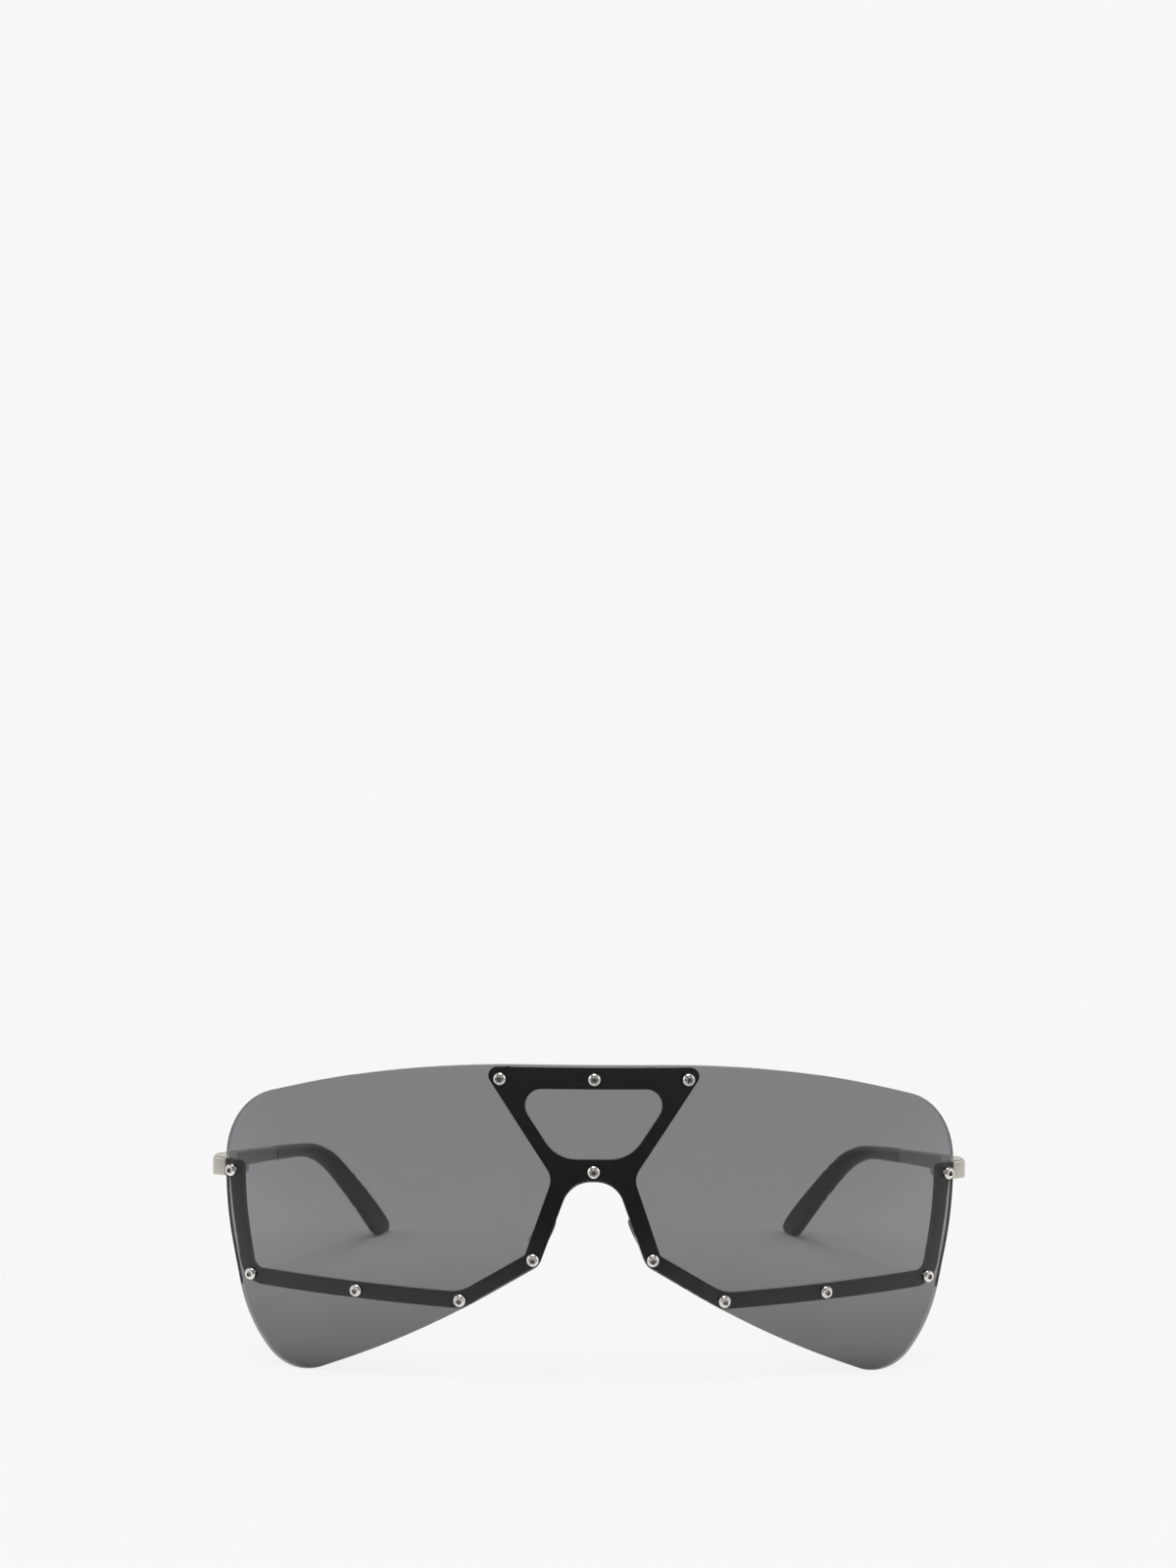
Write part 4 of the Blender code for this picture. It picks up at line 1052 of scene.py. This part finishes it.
def tip_stations(lean):
    """Stations along a tip, from the bottom of its bore out and round: place, axes, size, power."""
    stations = []

    def station(run, half_width, low, high, power=OVAL_POWER):
        ahead, behind = (temple_middle(run + step, lean) for step in (TANGENT_STEP, -TANGENT_STEP))
        back = (ahead - behind).normalized()
        out = back.cross(Vector((0, 0, 1))).normalized()
        size = (half_width * OVAL_FIT, (low + high) / 2, (high - low) / 2 * OVAL_FIT)
        stations.append((temple_middle(run, lean), out, out.cross(back).normalized(), size, power))

    mouth = ARM_LENGTH + MOUTH_GAP
    for step in range(BORE_STEPS + 1):
        run = ARM_LENGTH + BORE_LENGTH + (mouth - ARM_LENGTH - BORE_LENGTH) * step / BORE_STEPS
        station(run, BORE_RADIUS, -BORE_RADIUS, BORE_RADIUS, 1.0)
    for step in range(TAPER_STEPS + 1):
        left_over = (1 + math.cos(math.pi * step / TAPER_STEPS)) / 2
        run = mouth + MOUTH_TAPER * step / TAPER_STEPS
        half = half_height(run) - MOUTH_INSET[1] * left_over
        station(run, TIP_THICKNESS / 2 - MOUTH_INSET[0] * left_over, -half, half)
    first = mouth + MOUTH_TAPER
    end_length = TIP_END[-1][0] * TIP_PADDLE
    end_start = TEMPLE_RUN - end_length - END_SETBACK * TIP_PADDLE
    for step in range(1, TIP_STEPS + 1):
        run = first + (end_start - first) * step / TIP_STEPS
        station(run, TIP_THICKNESS / 2, -half_height(run), half_height(run))
    for step in range(1, END_STEPS + 1):
        along = TIP_END[-1][0] * step / END_STEPS
        low, high, width = rounded_row(TIP_END, along, END_CORNER)
        run = end_start + along * TIP_PADDLE
        station(run, TIP_THICKNESS / 2 * width, low * TIP_PADDLE, high * TIP_PADDLE)
    _, low, high, width = TIP_END[-1]
    for step in range(1, ROUND_STEPS + 1):
        angle = math.pi / 2 * step / ROUND_STEPS
        inset = END_ROUND * (1 - math.cos(angle))
        run = end_start + end_length + END_ROUND * math.sin(angle)
        station(run, TIP_THICKNESS / 2 * width - inset, low * TIP_PADDLE + inset, high * TIP_PADDLE - inset)
    return stations


sweep_tree, start, end = new_tree("swept_sections", Sides="Int", Finish="Material")
ring = node(sweep_tree, "GeometryNodeCurvePrimitiveCircle", {"Radius": 1.0, "Resolution": start["Sides"]})
on_ring = node(sweep_tree, "GeometryNodeInputPosition").outputs[0]
rail = node(sweep_tree, "GeometryNodeMeshToCurve", {"Mesh": start["Geometry"]})
profile = keep(sweep_tree, ring.outputs["Curve"], "corner", "FLOAT_VECTOR", on_ring)
sections = {"Curve": rail.outputs[0], "Profile Curve": profile, "Fill Caps": True}
tube = node(sweep_tree, "GeometryNodeCurveToMesh", sections)
corner = axes(sweep_tree, kept(sweep_tree, "corner", "FLOAT_VECTOR"))
size = axes(sweep_tree, kept(sweep_tree, "size", "FLOAT_VECTOR"))
power = kept(sweep_tree, "power", "FLOAT")
squared = []
for axis in ("X", "Y"):
    reach = math_node(sweep_tree, "POWER", math_node(sweep_tree, "ABSOLUTE", corner[axis]), power)
    squared.append(math_node(sweep_tree, "MULTIPLY", reach, math_node(sweep_tree, "SIGN", corner[axis])))
reach_out = math_node(sweep_tree, "MULTIPLY", squared[0], size["X"])
reach_up = math_node(sweep_tree, "MULTIPLY_ADD", squared[1], size["Z"], size["Y"])
section_place = kept(sweep_tree, "centre", "FLOAT_VECTOR")
for axis, reach in (("out", reach_out), ("up", reach_up)):
    scaled = {"Vector": kept(sweep_tree, axis, "FLOAT_VECTOR"), "Scale": reach}
    step = node(sweep_tree, "ShaderNodeVectorMath", scaled, operation="SCALE")
    section_place = vector_node(sweep_tree, "ADD", section_place, step.outputs[0])
shaped = moved_points(sweep_tree, tube.outputs[0], Position=section_place)
feed(sweep_tree, end, {0: finished(sweep_tree, shaped, start["Finish"])})


def swept(name, stations, sides, finish):
    """The closed mesh of a section that follows stations of (place, out, up, size, power)."""
    links = [(index, index + 1) for index in range(len(stations) - 1)]
    mesh = mesh_of(name, [row[0] for row in stations], edges=links)
    for title, column in (("centre", 0), ("out", 1), ("up", 2), ("size", 3)):
        layer = mesh.attributes.new(title, "FLOAT_VECTOR", "POINT")
        layer.data.foreach_set("vector", [value for row in stations for value in row[column]])
    layer = mesh.attributes.new("power", "FLOAT", "POINT")
    layer.data.foreach_set("value", [row[4] for row in stations])
    piece = grown(name, mesh, sweep_tree, Sides=sides, Finish=finish)
    made = piece.data
    bpy.data.objects.remove(piece)
    for title in ("centre", "out", "up", "size", "power", "corner"):
        if title in made.attributes:
            made.attributes.remove(made.attributes[title])
    return made


tip_look, tree, shader = principled("black_tip", {"Specular IOR Level": 0.52})
mouth_at = joint_at["temple_fold_right"].y + ARM_LENGTH
depth = axes(tree, node(tree, "ShaderNodeTexCoord").outputs["Object"])["Y"]
# Painted sheen: the tip is paler at the mouth, fading out over the first few centimetres, for the glancing
# reflection seen there.
painted_sheen = ramp(tree, depth, mouth_at, mouth_at + SHEEN_LENGTH, 1.0, 0.0)
shade = mix(tree, "RGBA", object_noise(tree, 3200, 3), grey(0.013), grey(0.017))
tip_rough = ramp(tree, object_noise(tree, 2600, 3), *NOISE_SPAN, 0.30, 0.34)
feed(tree, shader, {"Base Color": mix(tree, "RGBA", painted_sheen, shade, SHEEN_COLOUR), "Roughness": tip_rough})

level = tip_stations(0.0)
lowest = min((row[0] - row[2] * (row[3][2] - row[3][1]) for row in level), key=lambda point: point.z)
tip_mesh = swept("tip", tip_stations((HINGE_UP + lowest.z - lens_foot) / lowest.y), TIP_SIDES, tip_look)
for side, mesh in both_hands(closed_shell(tip_mesh, SHELL_EDGE)):
    turned_in = Matrix.Translation(joint_at["temple_fold_" + side]) @ Matrix.Rotation(-SWAY, 4, "Z")
    named = ("temple_" + side, "temple_tip_" + side, "black_plastic")
    set_in_place("tip_" + side, mesh, tip_look, *named, turned_in)


# Nose pads of clear silicone, each a thin soft oval with a drilled tab moulded on its back.
# The tab sits in the box of the pad arm and rocks on the pad's screw.
PAD_LENGTH = 0.010
PAD_WIDTH = 0.0065
PAD_THICKNESS = 0.0012
PAD_SPLAY = math.radians(30)
PAD_FLARE = math.radians(8)
PAD_POWER = 0.8
PAD_SIDES = 48
PAD_STEPS = 14
PAD_SECTION = ((-0.5, 0.80), (-0.35, 0.95), (0, 1), (0.3, 0.93), (0.5, 0.66))
TAB_THICKNESS = 0.0009
TAB_LENGTH = 0.0012
PAD_PIN = 0.00025
PAD_CLEARANCE = 0.00015
SILICONE_COLOUR = (0.30, 0.295, 0.28, 1)
SILICONE_ROUGHNESS = (0.22, 0.34)

silicone, tree, shader = principled(
    "clear_silicone", {"Base Color": SILICONE_COLOUR, "Transmission Weight": 0.6, "IOR": 1.41}
)
feed(tree, shader, {"Roughness": ramp(tree, object_noise(tree, 700, 3), *NOISE_SPAN, *SILICONE_ROUGHNESS)})

pad_down = Vector((math.sin(PAD_SPLAY), 0, -math.cos(PAD_SPLAY)))
pad_back = Vector((math.sin(PAD_FLARE), math.cos(PAD_FLARE), 0))
pad_back = (pad_back - pad_down * pad_back.dot(pad_down)).normalized()
pad_turn = Matrix((pad_back.cross(pad_down).normalized(), pad_back, pad_down)).transposed().to_4x4()
pad_place = Matrix.Translation(joint_at["pad_rock_right"]) @ pad_turn


def cross_pin(name, radius, reach):
    """A round bar along the pad's own Y."""
    bar = revolved(name, [(radius, -reach, False), (radius, reach, False)], PIN_SIDES)
    bar.transform(Matrix.Rotation(math.pi / 2, 4, "X"))
    return bar


pad_middle = (PAD_THICKNESS + TAB_LENGTH) / 2
pad_stations = []
for step in range(PAD_STEPS + 1):
    depth = step / PAD_STEPS - 0.5
    (share,) = smooth_row(PAD_SECTION, depth)
    place = Vector((pad_middle + depth * PAD_THICKNESS, 0, 0))
    size = (PAD_WIDTH / 2 * share, 0, PAD_LENGTH / 2 * share)
    pad_stations.append((place, Vector((0, 1, 0)), Vector((0, 0, 1)), size, PAD_POWER))
half_tab = TAB_THICKNESS / 2
tab = block_mesh("tab", (0, -half_tab, -TAB_LENGTH / 2), (pad_middle, half_tab, TAB_LENGTH / 2))
pad_mesh = fused(
    closed_shell(swept("pad", pad_stations, PAD_SIDES, silicone), SHELL_EDGE),
    [tab, cross_pin("eye", TAB_LENGTH / 2, half_tab)],
    [cross_pin("bore", PAD_PIN + PAD_CLEARANCE, TAB_THICKNESS)],
)
closed_shell(pad_mesh, SHELL_EDGE)
pad_mesh.transform(pad_place)
for side, mesh in both_hands(pad_mesh):
    set_in_place("pad_" + side, mesh, silicone, "pad_" + side, "nose_pad_" + side, "clear_silicone")


# Each pad arm is a round wire of the satin metal, brazed to the back of the frame and bent
# round to a small open box. The box holds the pad's tab between two drilled walls.
PAD_ARM_RADIUS = 0.0004
BRAZE_RADIUS = 0.00072
BRAZE_HEIGHT = 0.0005
BRAZE_INTO_FRAME = 1e-5
BOX_WALL = 0.0003
BOX_DEPTH = 0.00112
BOX_LENGTH = 0.0020
BOX_ROUND = 0.00007
BOX_ROUND_STEPS = 3
PAD_ARM_ROOT = (0.106, 0.536)
PAD_ARM_GAP = 0.00015
PAD_ARM_ROUTE = (
    (0, 0, 0, 0),
    (1, 0, 0.35, -0.10),
    (2, 0, 0.72, -0.08),
    (3, 0.12, 1.00, 0.16),
    (4, 0.52, 1.08, 0.60),
    (5, 1, 1, 1),
)
WIRE_STEPS = 60
WIRE_SIDES = 20

half_gap = TAB_THICKNESS / 2 + PAD_CLEARANCE
outer = half_gap + BOX_WALL
base = -TAB_LENGTH / 2 - PAD_CLEARANCE
box_top = BOX_LENGTH / 2
box_mesh = block_mesh("box", (base - BOX_WALL, -outer, -box_top), (base + BOX_DEPTH, outer, box_top))
work = bmesh.new()
work.from_mesh(box_mesh)
bevelled(work, work.edges, BOX_ROUND, BOX_ROUND_STEPS)
work.to_mesh(box_mesh)
work.free()
channel = block_mesh("channel", (base, -half_gap, -BOX_LENGTH), (base + 2 * BOX_DEPTH, half_gap, BOX_LENGTH))
box_mesh = fused(box_mesh, [], [channel, cross_pin("bore", PAD_PIN + PAD_CLEARANCE / 2, 2 * outer)])
box_mesh.transform(pad_place)

across, up = site(PAD_ARM_ROOT)
turn = across / CURVE_RADIUS
ring_radius = CURVE_RADIUS - SHEET_BACK - PAD_ARM_GAP
root_depth = CURVE_RADIUS - ring_radius * math.cos(turn)
wire_root = sheet_place + Vector((ring_radius * math.sin(turn), root_depth, up))
wire_end = pad_place @ Vector((base - BOX_WALL / 2, 0, (BOX_WALL - BOX_LENGTH) / 2))
way = wire_end - wire_root
from_frame = Vector((-math.sin(turn), math.cos(turn), 0))
wire_route = [wire_root - from_frame * (PAD_ARM_GAP - BRAZE_INTO_FRAME)]
for step in range(1, WIRE_STEPS + 1):
    across, back, down = smooth_row(PAD_ARM_ROUTE, PAD_ARM_ROUTE[-1][0] * step / WIRE_STEPS)
    wire_route.append(wire_root + Vector((way.x * across, way.y * back, way.z * down)))
wire_stations = []
wire_side = Vector((1, 0, 0))
for index, point in enumerate(wire_route):
    along = (wire_route[min(index + 1, WIRE_STEPS)] - wire_route[max(index - 1, 0)]).normalized()
    wire_side = (wire_side - along * wire_side.dot(along)).normalized()
    away = (point - wire_route[0]).length / BRAZE_HEIGHT
    radius = PAD_ARM_RADIUS + (BRAZE_RADIUS - PAD_ARM_RADIUS) * max(0.0, 1 - away) ** 2
    wire_stations.append((point, wire_side, along.cross(wire_side), (radius, 0, radius), 1.0))
wire_mesh = closed_shell(swept("wire", wire_stations, WIRE_SIDES, satin), SHELL_EDGE)
for side, mesh in both_hands(closed_shell(fused(box_mesh, [wire_mesh], []), SHELL_EDGE)):
    set_in_place("pad_wire_" + side, mesh, satin, "front", "pad_arm_" + side, "silver_metal")


# A small slotted steel screw runs through each box and the pad's tab. It is turned like the
# hinge screws, and the pad rocks on it.
PAD_SCREW_HEAD = 0.0005
PAD_SCREW_HEAD_HEIGHT = 0.0003
PAD_SCREW_GAP = 0.00015
PAD_SCREW_SLOT = (0.00015, 0.00015)

pad_screw_length = 2 * outer + PAD_SCREW_GAP
pad_screw_head = (PAD_SCREW_HEAD, PAD_SCREW_HEAD_HEIGHT, PAD_SCREW_SLOT)
pad_screw = slotted_screw("pad_screw", PAD_PIN, pad_screw_length, *pad_screw_head)
head_seat = Matrix.Translation(Vector((0, outer + PAD_SCREW_GAP, 0)))
pad_screw.transform(pad_place @ head_seat @ Matrix.Rotation(-math.pi / 2, 4, "X"))
for side, mesh in both_hands(pad_screw):
    set_in_place("pad_pin_" + side, mesh, polished, "front", "pad_screw_" + side, "bright_steel")
